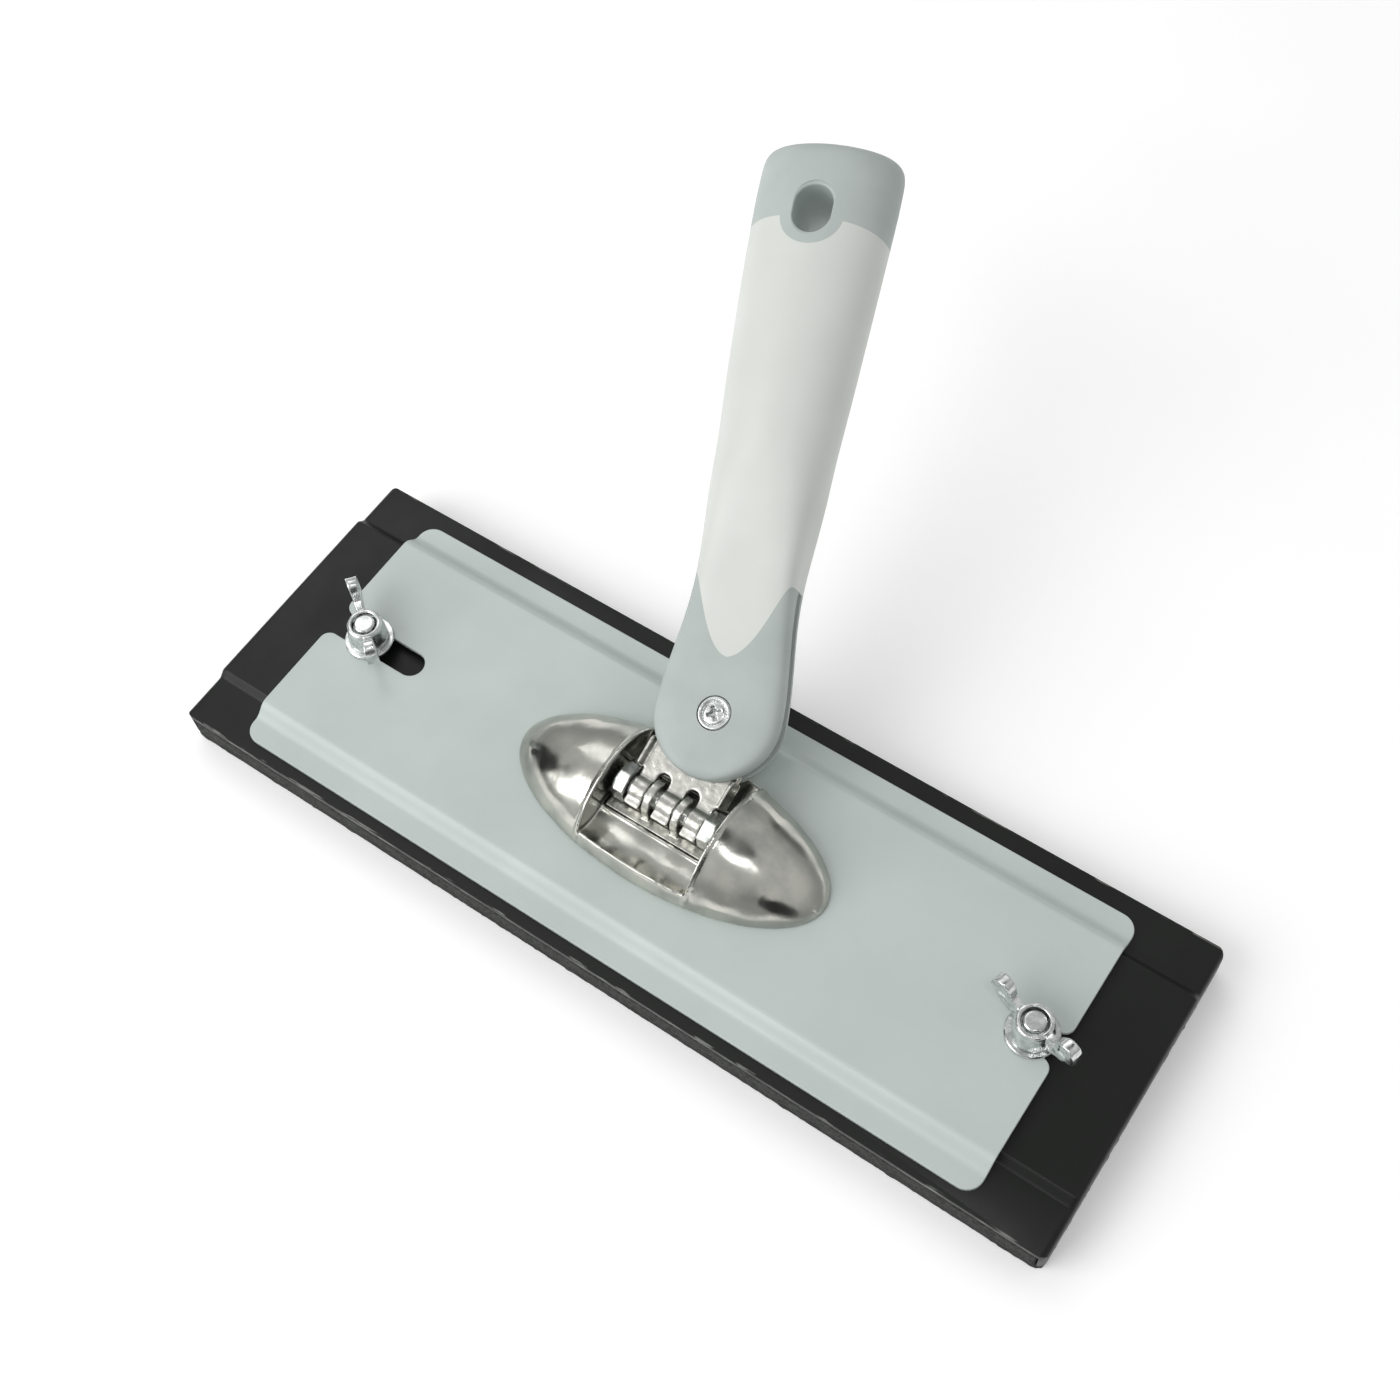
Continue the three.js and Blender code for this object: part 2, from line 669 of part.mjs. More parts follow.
// Outline of the grey zone round the lug: a rounded V below two side arms.
function lowerZone(drawnIn) {
  const side = waistHalfWidth + 6;
  const shape = new THREE.Shape();
  shape.moveTo(-side, -lugRadius - 5);
  shape.lineTo(side, -lugRadius - 5);
  shape.lineTo(side, waistAlong + 1 - drawnIn);
  shape.lineTo(waistHalfWidth - 0.6, waistAlong + 1 - drawnIn);
  shape.bezierCurveTo(9.5, waistAlong - drawnIn, 6, tipAlong + 1 - drawnIn, 0, tipAlong - drawnIn);
  shape.bezierCurveTo(-6, tipAlong + 1 - drawnIn, -9.5, waistAlong - drawnIn,
    -waistHalfWidth + 0.6, waistAlong + 1 - drawnIn);
  shape.lineTo(-side, waistAlong + 1 - drawnIn);
  return prismZ(shape, -30, 30, 8);
}

// Outline of the grey cap: two pale humps beside a ring round the hanging hole.
function capZone(drawnIn) {
  const side = topHalfWidth + 6;
  const hump = hangHoleAlong - 2.2 + drawnIn;
  const low = hangHoleAlong - 3.6 + drawnIn;
  const ringMiddle = hangHoleAlong - 1.1;
  const shape = new THREE.Shape();
  shape.moveTo(-side, low);
  shape.lineTo(-topHalfWidth, low);
  shape.quadraticCurveTo(-topHalfWidth + 3, hump, -hangHoleRing, hump);
  shape.lineTo(hangHoleRing, hump);
  shape.quadraticCurveTo(topHalfWidth - 3, hump, topHalfWidth, low);
  shape.lineTo(side, low);
  shape.lineTo(side, topEnd + 5);
  shape.lineTo(-side, topEnd + 5);
  return join(prismZ(shape, -30, 30, 6), rodZ(hangHoleRing - drawnIn, -30, 30, 0, ringMiddle, 24));
}

function hangHole(extra) {
  const radius = hangHoleWidth / 2 + extra;
  const straight = (hangHoleLength - hangHoleWidth) / 2;
  return join(
    rodZ(radius, -30, 30, 0, hangHoleAlong - straight, 24),
    rodZ(radius, -30, 30, 0, hangHoleAlong + straight, 24),
    block(-radius, radius, hangHoleAlong - straight, hangHoleAlong + straight, -30, 30),
  );
}

// The fork gap that takes the tongue, rounded at its inner end.
function forkCutter() {
  const half = forkGap / 2;
  return block(-30, 30, -30, forkDepth, -half, half);
}

const wholeForm = handleForm(0);
const coreForm = handleForm(skinThickness + GAP);
const skinBack = handleForm(skinThickness);
const frontHalf = block(-40, 40, -40, 160, 0, 40);
const screwHeadSeat = lugHalfThickness - screwHeadHeight;

// Core: the pale moulding. Under the grey zones it is drawn in by the skin.
function handleCore() {
  const pale = cut(wholeForm, lowerZone(-GAP), capZone(-GAP));
  const body = join(pale, coreForm);
  const nutPocket = rodZ(barrelNutDiameter / 2 + GAP, -30, -forkGap / 2 + 1, 0, 0, 24);
  return cut(
    body,
    forkCutter(),
    hangHole(skinThickness + GAP),
    rodZ(screwDiameter / 2 + GAP, -30, 30, 0, 0, 24),
    rodZ(screwHeadDiameter / 2 + GAP, screwHeadSeat - GAP, 30, 0, 0, 24),
    nutPocket,
  );
}

// Soft grey skins over the two cheeks of the fork, one at each face.
function lowerSkin(front) {
  const shell = cut(wholeForm.intersect(lowerZone(0)), skinBack, forkCutter());
  const kept = front ? shell.intersect(frontHalf) : shell.subtract(frontHalf);
  return cut(
    kept,
    rodZ(screwHeadDiameter / 2 + GAP, 0, 30, 0, 0, 24),
    rodZ(barrelNutDiameter / 2 + GAP, -30, 0, 0, 0, 24),
  );
}

// Soft grey cap over the handle's top, which also lines the hanging hole.
function topCap() {
  const liner = cut(hangHole(skinThickness), hangHole(0));
  const shell = cut(wholeForm.intersect(capZone(0)), skinBack);
  return cut(join(shell, liner.intersect(wholeForm)), hangHole(0));
}

function swivelScrew() {
  const top = lugHalfThickness + 0.1;
  return join(
    rodZ(screwHeadDiameter / 2, screwHeadSeat, top, 0, 0, 24),
    rodZ(screwDiameter / 2, -lugHalfThickness + 1.4, screwHeadSeat + 0.5, 0, 0, 24),
  );
}

// Barrel nut: a headed sleeve let into the back cheek, open at its front.
function barrelNut() {
  const back = -lugHalfThickness - 0.1;
  const front = -forkGap / 2 - GAP;
  const sleeve = rodZ(barrelNutDiameter / 2, back, front, 0, 0, 24);
  return cut(sleeve, rodZ(screwDiameter / 2 + 0.15, back + 1.2, front + 1, 0, 0, 24));
}

function frictionWasher(front) {
  const inner = tongueThickness / 2 + SEAT;
  const outer = inner + frictionWasherThickness;
  const [z0, z1] = front ? [inner, outer] : [-outer, -inner];
  const disc = rodZ(frictionWasherDiameter / 2, z0, z1, 0, 0, 24);
  return cut(disc, rodZ(screwDiameter / 2 + GAP, -5, 5, 0, 0, 24));
}

swivel.add(named('handle_core', handleCore(), whitePlastic));
swivel.add(named('lower_skin_front', lowerSkin(true), greyRubber));
swivel.add(named('lower_skin_back', lowerSkin(false), greyRubber));
swivel.add(named('top_cap', topCap(), greyRubber));
swivel.add(named('swivel_screw', swivelScrew(), brightZinc));
swivel.add(named('barrel_nut', barrelNut(), brightZinc));
swivel.add(named('friction_washer_front', frictionWasher(true), nylon));
swivel.add(named('friction_washer_back', frictionWasher(false), nylon));

export default sander;
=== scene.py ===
import json
import math

import bmesh
import bpy
from mathutils import Matrix, Vector, noise


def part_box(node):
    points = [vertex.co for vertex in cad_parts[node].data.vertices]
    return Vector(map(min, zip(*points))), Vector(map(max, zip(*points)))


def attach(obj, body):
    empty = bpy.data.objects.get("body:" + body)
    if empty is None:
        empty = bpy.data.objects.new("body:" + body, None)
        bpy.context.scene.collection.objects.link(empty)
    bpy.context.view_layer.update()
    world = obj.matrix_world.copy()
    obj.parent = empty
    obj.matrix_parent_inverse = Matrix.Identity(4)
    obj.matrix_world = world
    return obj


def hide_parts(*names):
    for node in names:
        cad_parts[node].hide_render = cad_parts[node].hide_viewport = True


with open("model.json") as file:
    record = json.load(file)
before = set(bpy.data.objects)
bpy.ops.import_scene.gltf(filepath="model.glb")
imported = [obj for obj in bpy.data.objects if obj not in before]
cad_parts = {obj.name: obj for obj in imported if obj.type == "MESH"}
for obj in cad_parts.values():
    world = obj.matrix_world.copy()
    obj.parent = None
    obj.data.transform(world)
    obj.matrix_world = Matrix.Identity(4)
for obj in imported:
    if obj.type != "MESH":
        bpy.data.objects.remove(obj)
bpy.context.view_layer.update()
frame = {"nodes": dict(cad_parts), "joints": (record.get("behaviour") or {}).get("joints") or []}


# ---------------------------------------------------------------------------
# Studio: a plain pale floor, soft light from large panels, and the camera
# above the near right corner, looking down on the sander at about 60 degrees.
# ---------------------------------------------------------------------------

MM = 0.001

scene = bpy.context.scene
scene.view_settings.view_transform = "Standard"

camera_data = bpy.data.cameras.new("camera")
camera_data.sensor_width = 36.0
camera_data.lens = 48.25
camera_data.clip_start = 0.01
camera_right = Vector((0.8228, 0.5653, -0.0593))
camera_up = Vector((-0.4657, 0.7318, 0.4975))
camera_back = camera_right.cross(camera_up)
camera = bpy.data.objects.new("camera", camera_data)
scene.collection.objects.link(camera)
turn = Matrix((camera_right, camera_up, camera_back)).transposed().to_4x4()
camera.matrix_world = Matrix.Translation((0.1300, -0.1401, 0.3961)) @ turn
scene.camera = camera


def soft_panel(name, place, width, power):
    """Hangs a square light, in metres and watts, aimed at the middle of the sander."""
    data = bpy.data.lights.new(name, "AREA")
    data.shape = "SQUARE"
    data.size = width
    data.energy = power
    panel = bpy.data.objects.new(name, data)
    scene.collection.objects.link(panel)
    aim = Vector((0.0, 0.02, 0.02)) - Vector(place)
    panel.rotation_euler = aim.to_track_quat("-Z", "Y").to_euler()
    panel.location = place


soft_panel("panel_near", (-0.7, -1.0, 0.85), 1.2, 13.0)
soft_panel("panel_far", (-0.9, 0.6, 1.2), 1.0, 3.0)
soft_panel("panel_small", (0.42, -0.37, 1.5), 0.25, 1.8)


def linear(code):
    """Turns an sRGB hex colour into the linear values that a socket takes."""
    shares = [int(code[i:i + 2], 16) / 255 for i in (1, 3, 5)]
    return [s / 12.92 if s <= 0.04045 else ((s + 0.055) / 1.055) ** 2.4 for s in shares] + [1.0]


def add_node(tree, kind, settings=None, links=None, **traits):
    """Adds a node, with its traits, its socket values and what its sockets are fed from."""
    node = tree.nodes.new(kind)
    for trait, value in traits.items():
        setattr(node, trait, value)
    for socket, value in (settings or {}).items():
        node.inputs[socket].default_value = value
    for socket, output in (links or {}).items():
        tree.links.new(output, node.inputs[socket])
    return node


# The room is brighter overhead than at eye level. A few dark things stand in it,
# each seen in a direction and under a half angle, for bright metal to reflect.
world = bpy.data.worlds.new("studio")
world.use_nodes = True
room = world.node_tree
direction = add_node(room, "ShaderNodeTexCoord").outputs["Generated"]
height = add_node(room, "ShaderNodeSeparateXYZ", {}, {0: direction}).outputs["Z"]
rise = add_node(
    room, "ShaderNodeMapRange", {1: 0.05, 2: 0.75}, {0: height}, interpolation_type="SMOOTHSTEP"
).outputs[0]
eye_level = linear("#C4C6C5")
overhead = linear("#FFFFFF")
seen = add_node(room, "ShaderNodeMix", {6: eye_level, 7: overhead}, {0: rise}, data_type="RGBA").outputs[2]
for toward, half_angle in (
    ((-0.94, -0.27, 0.17), 20.0),
    ((0.66, -0.64, 0.36), 20.0),
    ((0.12, 0.1, 0.98), 14.0),
    ((0.2, 0.95, 0.1), 14.0),
):
    aligned = add_node(
        room, "ShaderNodeVectorMath", {1: toward}, {0: direction}, operation="DOT_PRODUCT"
    ).outputs["Value"]
    outer, inner = (math.cos(math.radians(half_angle + blur)) for blur in (2, -2))
    hidden = add_node(room, "ShaderNodeMapRange", {1: outer, 2: inner}, {0: aligned}).outputs[0]
    seen = add_node(
        room, "ShaderNodeMix", {7: linear("#3A3C3B")}, {0: hidden, 6: seen}, data_type="RGBA"
    ).outputs[2]
room.links.new(seen, room.nodes["Background"].inputs["Color"])
room.nodes["Background"].inputs["Strength"].default_value = 0.62
scene.world = world


# ---------------------------------------------------------------------------
# Floor: a seamless sweep of matt white paper. It is not part of the sander.
# ---------------------------------------------------------------------------

def mottled(name, light, dark, patch, grain, depth, roughness, metallic=0.0):
    """A finish whose colour and gloss drift from patch to patch, under a fine bump.

    The patch and grain widths and the bump's depth are in millimetres.
    """
    material = bpy.data.materials.new(name)
    material.use_nodes = True
    tree = material.node_tree
    shader = tree.nodes["Principled BSDF"]
    shader.inputs["Metallic"].default_value = metallic
    place = add_node(tree, "ShaderNodeTexCoord").outputs["Object"]
    drift = add_node(
        tree, "ShaderNodeTexNoise", {"Scale": 1 / (patch * MM), "Detail": 4.0}, {"Vector": place}
    )
    spread = add_node(tree, "ShaderNodeMapRange", {1: 0.34, 2: 0.66}, {0: drift.outputs[0]}).outputs[0]
    colour = add_node(
        tree, "ShaderNodeMix", {6: linear(dark), 7: linear(light)}, {0: spread}, data_type="RGBA"
    )
    gloss = add_node(tree, "ShaderNodeMapRange", {3: roughness[1], 4: roughness[0]}, {0: spread})
    fine = add_node(tree, "ShaderNodeTexNoise", {"Scale": 1 / (grain * MM), "Detail": 3.0}, {"Vector": place})
    bump = add_node(tree, "ShaderNodeBump", {"Distance": depth * MM}, {"Height": fine.outputs[0]})
    tree.links.new(colour.outputs[2], shader.inputs["Base Color"])
    tree.links.new(gloss.outputs[0], shader.inputs["Roughness"])
    tree.links.new(bump.outputs["Normal"], shader.inputs["Normal"])
    return material


def make_piece(name, shape, material, sharp=35.0):
    """Writes a bmesh in millimetres to a smooth-shaded object in metres."""
    bmesh.ops.scale(shape, vec=(MM, MM, MM), verts=shape.verts)
    mesh = bpy.data.meshes.new(name)
    shape.to_mesh(mesh)
    shape.free()
    mesh.shade_smooth()
    mesh.set_sharp_from_angle(angle=math.radians(sharp))
    mesh.materials.append(material)
    piece = bpy.data.objects.new(name, mesh)
    scene.collection.objects.link(piece)
    return piece


# Matt paper gives an even white with hardly any gloss. It is lit from below, as
# on a light table, so that it stays white under the sander's soft shadow.
white_paper = mottled("matt_white_paper", "#FEFEFE", "#FCFCFC", 60.0, 0.4, 0.01, (0.85, 0.95))
paper_shader = white_paper.node_tree.nodes["Principled BSDF"]
paper_shader.inputs["Emission Color"].default_value = linear("#FFFFFF")
paper_shader.inputs["Emission Strength"].default_value = 0.15
floor_shape = bmesh.new()
bmesh.ops.create_grid(floor_shape, x_segments=8, y_segments=8, size=4000.0)
bmesh.ops.translate(floor_shape, vec=(0.0, 0.0, -0.2), verts=floor_shape.verts)
floor = make_piece("paper_floor", floor_shape, white_paper)


# ---------------------------------------------------------------------------
# Foam pad: closed-cell rubber foam, knife-cut to the base's size and glued
# under it between the turned-down ends. Its sides show the torn cells.
# ---------------------------------------------------------------------------

def block(x0, x1, y0, y1, z0, z1):
    """A plain block between two places along each axis."""
    shape = bmesh.new()
    bmesh.ops.create_cube(shape, size=1.0)
    bmesh.ops.scale(shape, vec=(x1 - x0, y1 - y0, z1 - z0), verts=shape.verts)
    bmesh.ops.translate(shape, vec=((x0 + x1) / 2, (y0 + y1) / 2, (z0 + z1) / 2), verts=shape.verts)
    return shape


def round_upright_edges(shape, radius):
    """Rounds the corners of a block as seen from above."""
    upright = [e for e in shape.edges if abs(e.verts[0].co.z - e.verts[1].co.z) > 1e-4]
    bmesh.ops.bevel(
        shape, geom=upright, offset=radius, offset_type="OFFSET", segments=10,
        profile=0.5, affect="EDGES", material=-1,
    )
    return shape


def to_object(shape):
    """Puts a bmesh in a passing object, for a modifier to work on."""
    mesh = bpy.data.meshes.new("blank")
    shape.to_mesh(mesh)
    shape.free()
    blank = bpy.data.objects.new("blank", mesh)
    scene.collection.objects.link(blank)
    return blank


def modified(shape, kind, tool=None, **settings):
    """Runs one modifier over a bmesh and gives what comes out as a new bmesh."""
    blank = to_object(shape)
    modifier = blank.modifiers.new(kind, kind)
    for setting, value in settings.items():
        setattr(modifier, setting, value)
    if tool is not None:
        modifier.object = tool
    bpy.context.view_layer.update()
    seen = blank.evaluated_get(bpy.context.evaluated_depsgraph_get())
    result = bmesh.new()
    result.from_mesh(seen.to_mesh())
    seen.to_mesh_clear()
    bpy.data.objects.remove(blank)
    return result


def carve(shape, *tools, operation="DIFFERENCE"):
    """Cuts each tool from a shape, or keeps only what lies inside it."""
    for tool in tools:
        cutter = to_object(tool)
        shape = modified(shape, "BOOLEAN", tool=cutter, operation=operation, solver="EXACT")
        bpy.data.objects.remove(cutter)
    return shape


def cast(shape, voxel, rounds):
    """Melts the overlapping parts of a shape into one skin with softly rounded edges."""
    whole = modified(shape, "REMESH", mode="VOXEL", voxel_size=voxel)
    for _ in range(rounds):
        bmesh.ops.smooth_vert(
            whole, verts=whole.verts, factor=0.5, use_axis_x=True, use_axis_y=True, use_axis_z=True
        )
    return whole


def box_mm(node):
    """A CAD node's lowest and highest corners in millimetres."""
    low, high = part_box(node)
    return low / MM, high / MM


def roughen(shape, width, depth, upright_only=False):
    """Moves the skin in and out by a smooth noise of the given width and depth."""
    shape.normal_update()
    for vert in shape.verts:
        if upright_only and abs(vert.normal.z) > 0.5:
            continue
        vert.co += vert.normal * noise.noise(vert.co / width) * depth


base_corner = 2.2
base_sheet = 1.5
lip_bottom = 3.0
clearance = 0.3
foam_low, foam_high = box_mm("foam_pad")
tucked = foam_high.x - base_sheet - clearance
lip_room = lip_bottom - clearance
beyond = 5.0

foam_shape = round_upright_edges(
    block(foam_low.x, foam_high.x, foam_low.y, foam_high.y, foam_low.z, foam_high.z), base_corner
)
foam_shape = carve(
    foam_shape,
    *(
        block(*ends, foam_low.y - beyond, foam_high.y + beyond, lip_room, foam_high.z + beyond)
        for ends in ((tucked, foam_high.x + beyond), (foam_low.x - beyond, -tucked))
    ),
)
foam_shape = cast(foam_shape, 0.9, 1)
roughen(foam_shape, 1.3, 0.22, upright_only=True)

# Rubber foam is matt and nearly black. Above about 3 mm from the bottom it is
# mixed with paler grey in a noise of torn cells about half a millimetre wide, so the cut side is paler above
# and darker towards the bottom.
foam_rubber = mottled("closed_cell_rubber_foam", "#232523", "#181A18", 4.0, 0.55, 0.25, (0.85, 0.97))
tree = foam_rubber.node_tree
shader = tree.nodes["Principled BSDF"]
place = add_node(tree, "ShaderNodeTexCoord").outputs["Object"]
level = add_node(tree, "ShaderNodeSeparateXYZ", {}, {0: place}).outputs["Z"]
cut_band = add_node(tree, "ShaderNodeMapRange", {1: 2.4 * MM, 2: 3.4 * MM}, {0: level}).outputs[0]
cells = add_node(tree, "ShaderNodeTexNoise", {"Scale": 1 / (0.9 * MM), "Detail": 5.0}, {"Vector": place})
torn = add_node(tree, "ShaderNodeMapRange", {1: 0.38, 2: 0.62}, {0: cells.outputs[0]}).outputs[0]
paler_above_band = add_node(tree, "ShaderNodeMath", {}, {0: cut_band, 1: torn}, operation="MULTIPLY").outputs[0]
plain = shader.inputs["Base Color"].links[0].from_socket
# Paler grey mixed in above the height band, in the torn-cell noise; the bottom of the side stays darker.
paler_upper_foam = add_node(
    tree, "ShaderNodeMix", {7: linear("#393B38")}, {0: paler_above_band, 6: plain}, data_type="RGBA"
)
tree.links.new(paler_upper_foam.outputs[2], shader.inputs["Base Color"])

foam = make_piece("foam_sole", foam_shape, foam_rubber, sharp=60.0)
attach(foam, "base")
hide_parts("foam_pad")


# ---------------------------------------------------------------------------
# Base plate: mild steel sheet, pressed up along its middle and turned down at
# both ends, then dipped in black enamel. Its long edges are worn and carry a painted highlight.
# ---------------------------------------------------------------------------

def smooth_ramp(at, start, end, soften):
    """Rises from 0 to 1 between two places, rounded over a distance either side of each."""
    slope = 1 / (end - start)
    value = 0.0
    for corner, bend in ((start, slope), (end, -slope)):
        past = at - corner
        if past > soften:
            value += bend * past
        elif past > -soften:
            value += bend * (past + soften) ** 2 / (4 * soften)
    return value


def bend_lines(corners, soften):
    """Places across a bend where the sheet needs an edge, for each corner."""
    return [corner + soften * step / 2 for corner in corners for step in (-2, -1, 0, 1, 2)]


band_rise = 1.6
strip_width = 12.25
band_slope = 1.7
bend_round = 0.4
lip_radius = 1.7
slack = 0.02

base_low, base_high = box_mm("base_plate")
strip_top = base_high.z - band_rise
band_foot = base_high.y - strip_width
band_edge = band_foot - band_slope

plate_shape = bmesh.new()
arc = [math.radians(angle) for angle in (180, 157.5, 135, 112.5, 90)]
centre_x = base_high.x - lip_radius
left_end = [(base_low.x, lip_bottom)]
left_end += [
    (-centre_x + lip_radius * math.cos(a), strip_top - lip_radius + lip_radius * math.sin(a)) for a in arc
]
over_the_top = left_end + [(-x, z) for x, z in reversed(left_end)]
row = [plate_shape.verts.new((x, base_low.y, z)) for x, z in over_the_top]
edges = [plate_shape.edges.new(pair) for pair in zip(row, row[1:])]
bends = bend_lines((band_edge, band_foot), bend_round)
across = sorted([-y for y in bends] + bends + [base_high.y])
reached = base_low.y
for y in across:
    grown = bmesh.ops.extrude_edge_only(plate_shape, edges=edges)["geom"]
    moved = [part for part in grown if isinstance(part, bmesh.types.BMVert)]
    bmesh.ops.translate(plate_shape, vec=(0.0, y - reached, 0.0), verts=moved)
    edges = [e for e in grown if isinstance(e, bmesh.types.BMEdge) and all(v in moved for v in e.verts)]
    reached = y
for vert in plate_shape.verts:
    if vert.co.z > lip_bottom + 1:
        vert.co.z += band_rise * (1 - smooth_ramp(abs(vert.co.y), band_edge, band_foot, bend_round))
bmesh.ops.recalc_face_normals(plate_shape, faces=plate_shape.faces)
upward = max(plate_shape.faces, key=lambda face: face.calc_area())
if upward.normal.z < 0:
    bmesh.ops.reverse_faces(plate_shape, faces=plate_shape.faces)
plate_shape = modified(
    plate_shape, "SOLIDIFY", thickness=base_sheet, offset=-1.0, use_even_offset=True
)
plan = block(
    base_low.x - slack, base_high.x + slack, base_low.y - slack, base_high.y + slack,
    -beyond, base_high.z + beyond,
)
round_upright_edges(plan, base_corner)
plate_shape = carve(plate_shape, plan, operation="INTERSECT")


def soften_edges(shape, width, angle=50.0, segments=2):
    """Breaks every edge that turns by more than an angle."""
    bmesh.ops.remove_doubles(shape, verts=shape.verts, dist=0.002)
    bmesh.ops.dissolve_degenerate(shape, edges=shape.edges, dist=0.002)
    keen = [e for e in shape.edges if e.is_manifold and e.calc_face_angle(0.0) > math.radians(angle)]
    bmesh.ops.bevel(
        shape, geom=keen, offset=width, offset_type="OFFSET", segments=segments,
        profile=0.5, affect="EDGES", material=-1, clamp_overlap=True,
    )
    return shape


soften_edges(plate_shape, 0.22)

# Dipped enamel is a satin black. It thins on the sheet's long edges, where the
# paper strip is folded over, and there the grey primer shows in short scuffs, which also stand in for a
# painted highlight along the edge.
black_enamel = mottled("satin_black_enamel", "#171A17", "#111311", 16.0, 0.5, 0.012, (0.34, 0.46))
tree = black_enamel.node_tree
shader = tree.nodes["Principled BSDF"]
shader.inputs["Specular IOR Level"].default_value = 0.3
place = add_node(tree, "ShaderNodeTexCoord").outputs["Object"]
sideways = add_node(tree, "ShaderNodeSeparateXYZ", {}, {0: place}).outputs["Y"]
outwards = add_node(tree, "ShaderNodeMath", {}, {0: sideways}, operation="ABSOLUTE").outputs[0]
edge_start = (base_high.y - 0.5) * MM
at_edge = add_node(
    tree, "ShaderNodeMapRange", {1: edge_start, 2: edge_start + 0.25 * MM}, {0: outwards}
).outputs[0]
stretched = add_node(tree, "ShaderNodeMapping", {"Scale": (0.12, 1.0, 1.0)}, {"Vector": place}).outputs[0]
edge_wear_and_highlight_noise = add_node(tree, "ShaderNodeTexNoise", {"Scale": 1 / (0.7 * MM), "Detail": 3.0}, {"Vector": stretched})
worn_and_lit_patches = add_node(tree, "ShaderNodeMapRange", {1: 0.56, 2: 0.66}, {0: edge_wear_and_highlight_noise.outputs[0]}).outputs[0]
wear_and_highlight_mask = add_node(tree, "ShaderNodeMath", {}, {0: at_edge, 1: worn_and_lit_patches}, operation="MULTIPLY").outputs[0]
plain = shader.inputs["Base Color"].links[0].from_socket
# Pale grey painted along the long edges: partly worn enamel, partly a painted highlight of the edge.
wear_and_highlight_mix = add_node(
    tree, "ShaderNodeMix", {7: linear("#767874")}, {0: wear_and_highlight_mask, 6: plain}, data_type="RGBA"
)
tree.links.new(wear_and_highlight_mix.outputs[2], shader.inputs["Base Color"])

base_plate = make_piece("pressed_base_plate", plate_shape, black_enamel)
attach(base_plate, "base")
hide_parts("base_plate")


# ---------------------------------------------------------------------------
# Studs: M6 steel studs with a flat head under the base plate and a rolled
# thread, bright zinc plated. The clamp plate drops over them.
# ---------------------------------------------------------------------------

def turned(profile, steps=64, closed=False):
    """Spins (radius, height) points round the Z axis. A closed profile makes a ring."""
    shape = bmesh.new()
    points = [shape.verts.new((radius, 0.0, height)) for radius, height in profile]
    pairs = list(zip(points, points[1:]))
    if closed:
        pairs.append((points[-1], points[0]))
    chain = [shape.edges.new(pair) for pair in pairs]
    bmesh.ops.spin(
        shape, geom=points + chain, cent=(0, 0, 0), axis=(0, 0, 1), angle=math.tau,
        steps=steps, use_merge=True,
    )
    bmesh.ops.remove_doubles(shape, verts=shape.verts, dist=0.001)
    bmesh.ops.recalc_face_normals(shape, faces=shape.faces)
    return shape


def together(*shapes):
    """Gathers several bmeshes in the first one."""
    for shape in shapes[1:]:
        mesh = bpy.data.meshes.new("part")
        shape.to_mesh(mesh)
        shape.free()
        shapes[0].from_mesh(mesh)
        bpy.data.meshes.remove(mesh)
    return shapes[0]


def place_shape(shape, matrix):
    """Moves a bmesh to its place and gives it back."""
    bmesh.ops.transform(shape, matrix=matrix, verts=shape.verts)
    return shape


thread_radius = 3.0
thread_root = 2.55
thread_pitch = 1.0
thread_steps = 32
ridge_foot_half = 0.45
ridge_crest_half = 0.06
stud_head_radius = 6.0
stud_head_height = 1.3
stud_tip_chamfer = 0.4


def thread_ridge(bottom, top):
    """A rolled thread's ridge, climbing one pitch for each turn."""
    shape = bmesh.new()
    sunk = thread_root - 0.3
    section = [
        (sunk, -ridge_foot_half), (thread_radius, -ridge_crest_half),
        (thread_radius, ridge_crest_half), (sunk, ridge_foot_half),
    ]
    points = [shape.verts.new((radius, 0.0, bottom + height)) for radius, height in section]
    ring = [shape.edges.new(pair) for pair in zip(points, points[1:] + points[:1])]
    turns = int((top - bottom) / thread_pitch)
    bmesh.ops.spin(
        shape, geom=points + ring, cent=(0, 0, 0), axis=(0, 0, 1), angle=math.tau * turns,
        dvec=(0.0, 0.0, thread_pitch / thread_steps), steps=thread_steps * turns,
    )
    bmesh.ops.holes_fill(shape, edges=[e for e in shape.edges if e.is_boundary], sides=0)
    bmesh.ops.recalc_face_normals(shape, faces=shape.faces)
    return shape


def threaded_stud(bottom, top):
    """A flat head, and a threaded shank that stands on it."""
    head_top = bottom + stud_head_height
    head = turned([
        (0, bottom), (stud_head_radius - 0.3, bottom), (stud_head_radius, bottom + 0.3),
        (stud_head_radius, head_top - 0.2), (stud_head_radius - 0.2, head_top), (0, head_top),
    ])
    core = turned([
        (0, bottom), (thread_root, bottom), (thread_root, top - stud_tip_chamfer),
        (thread_root - stud_tip_chamfer, top), (0, top),
    ])
    shank = cast(together(core, thread_ridge(head_top + 0.6, top - 0.5)), 0.14, 1)
    return together(head, shank)


# Bright zinc plating over steel: a cool silver with small cloudy patches.
bright_zinc = mottled("bright_zinc_plating", "#EDEFEE", "#BCC0BF", 2.2, 0.6, 0.03, (0.16, 0.34), 1.0)

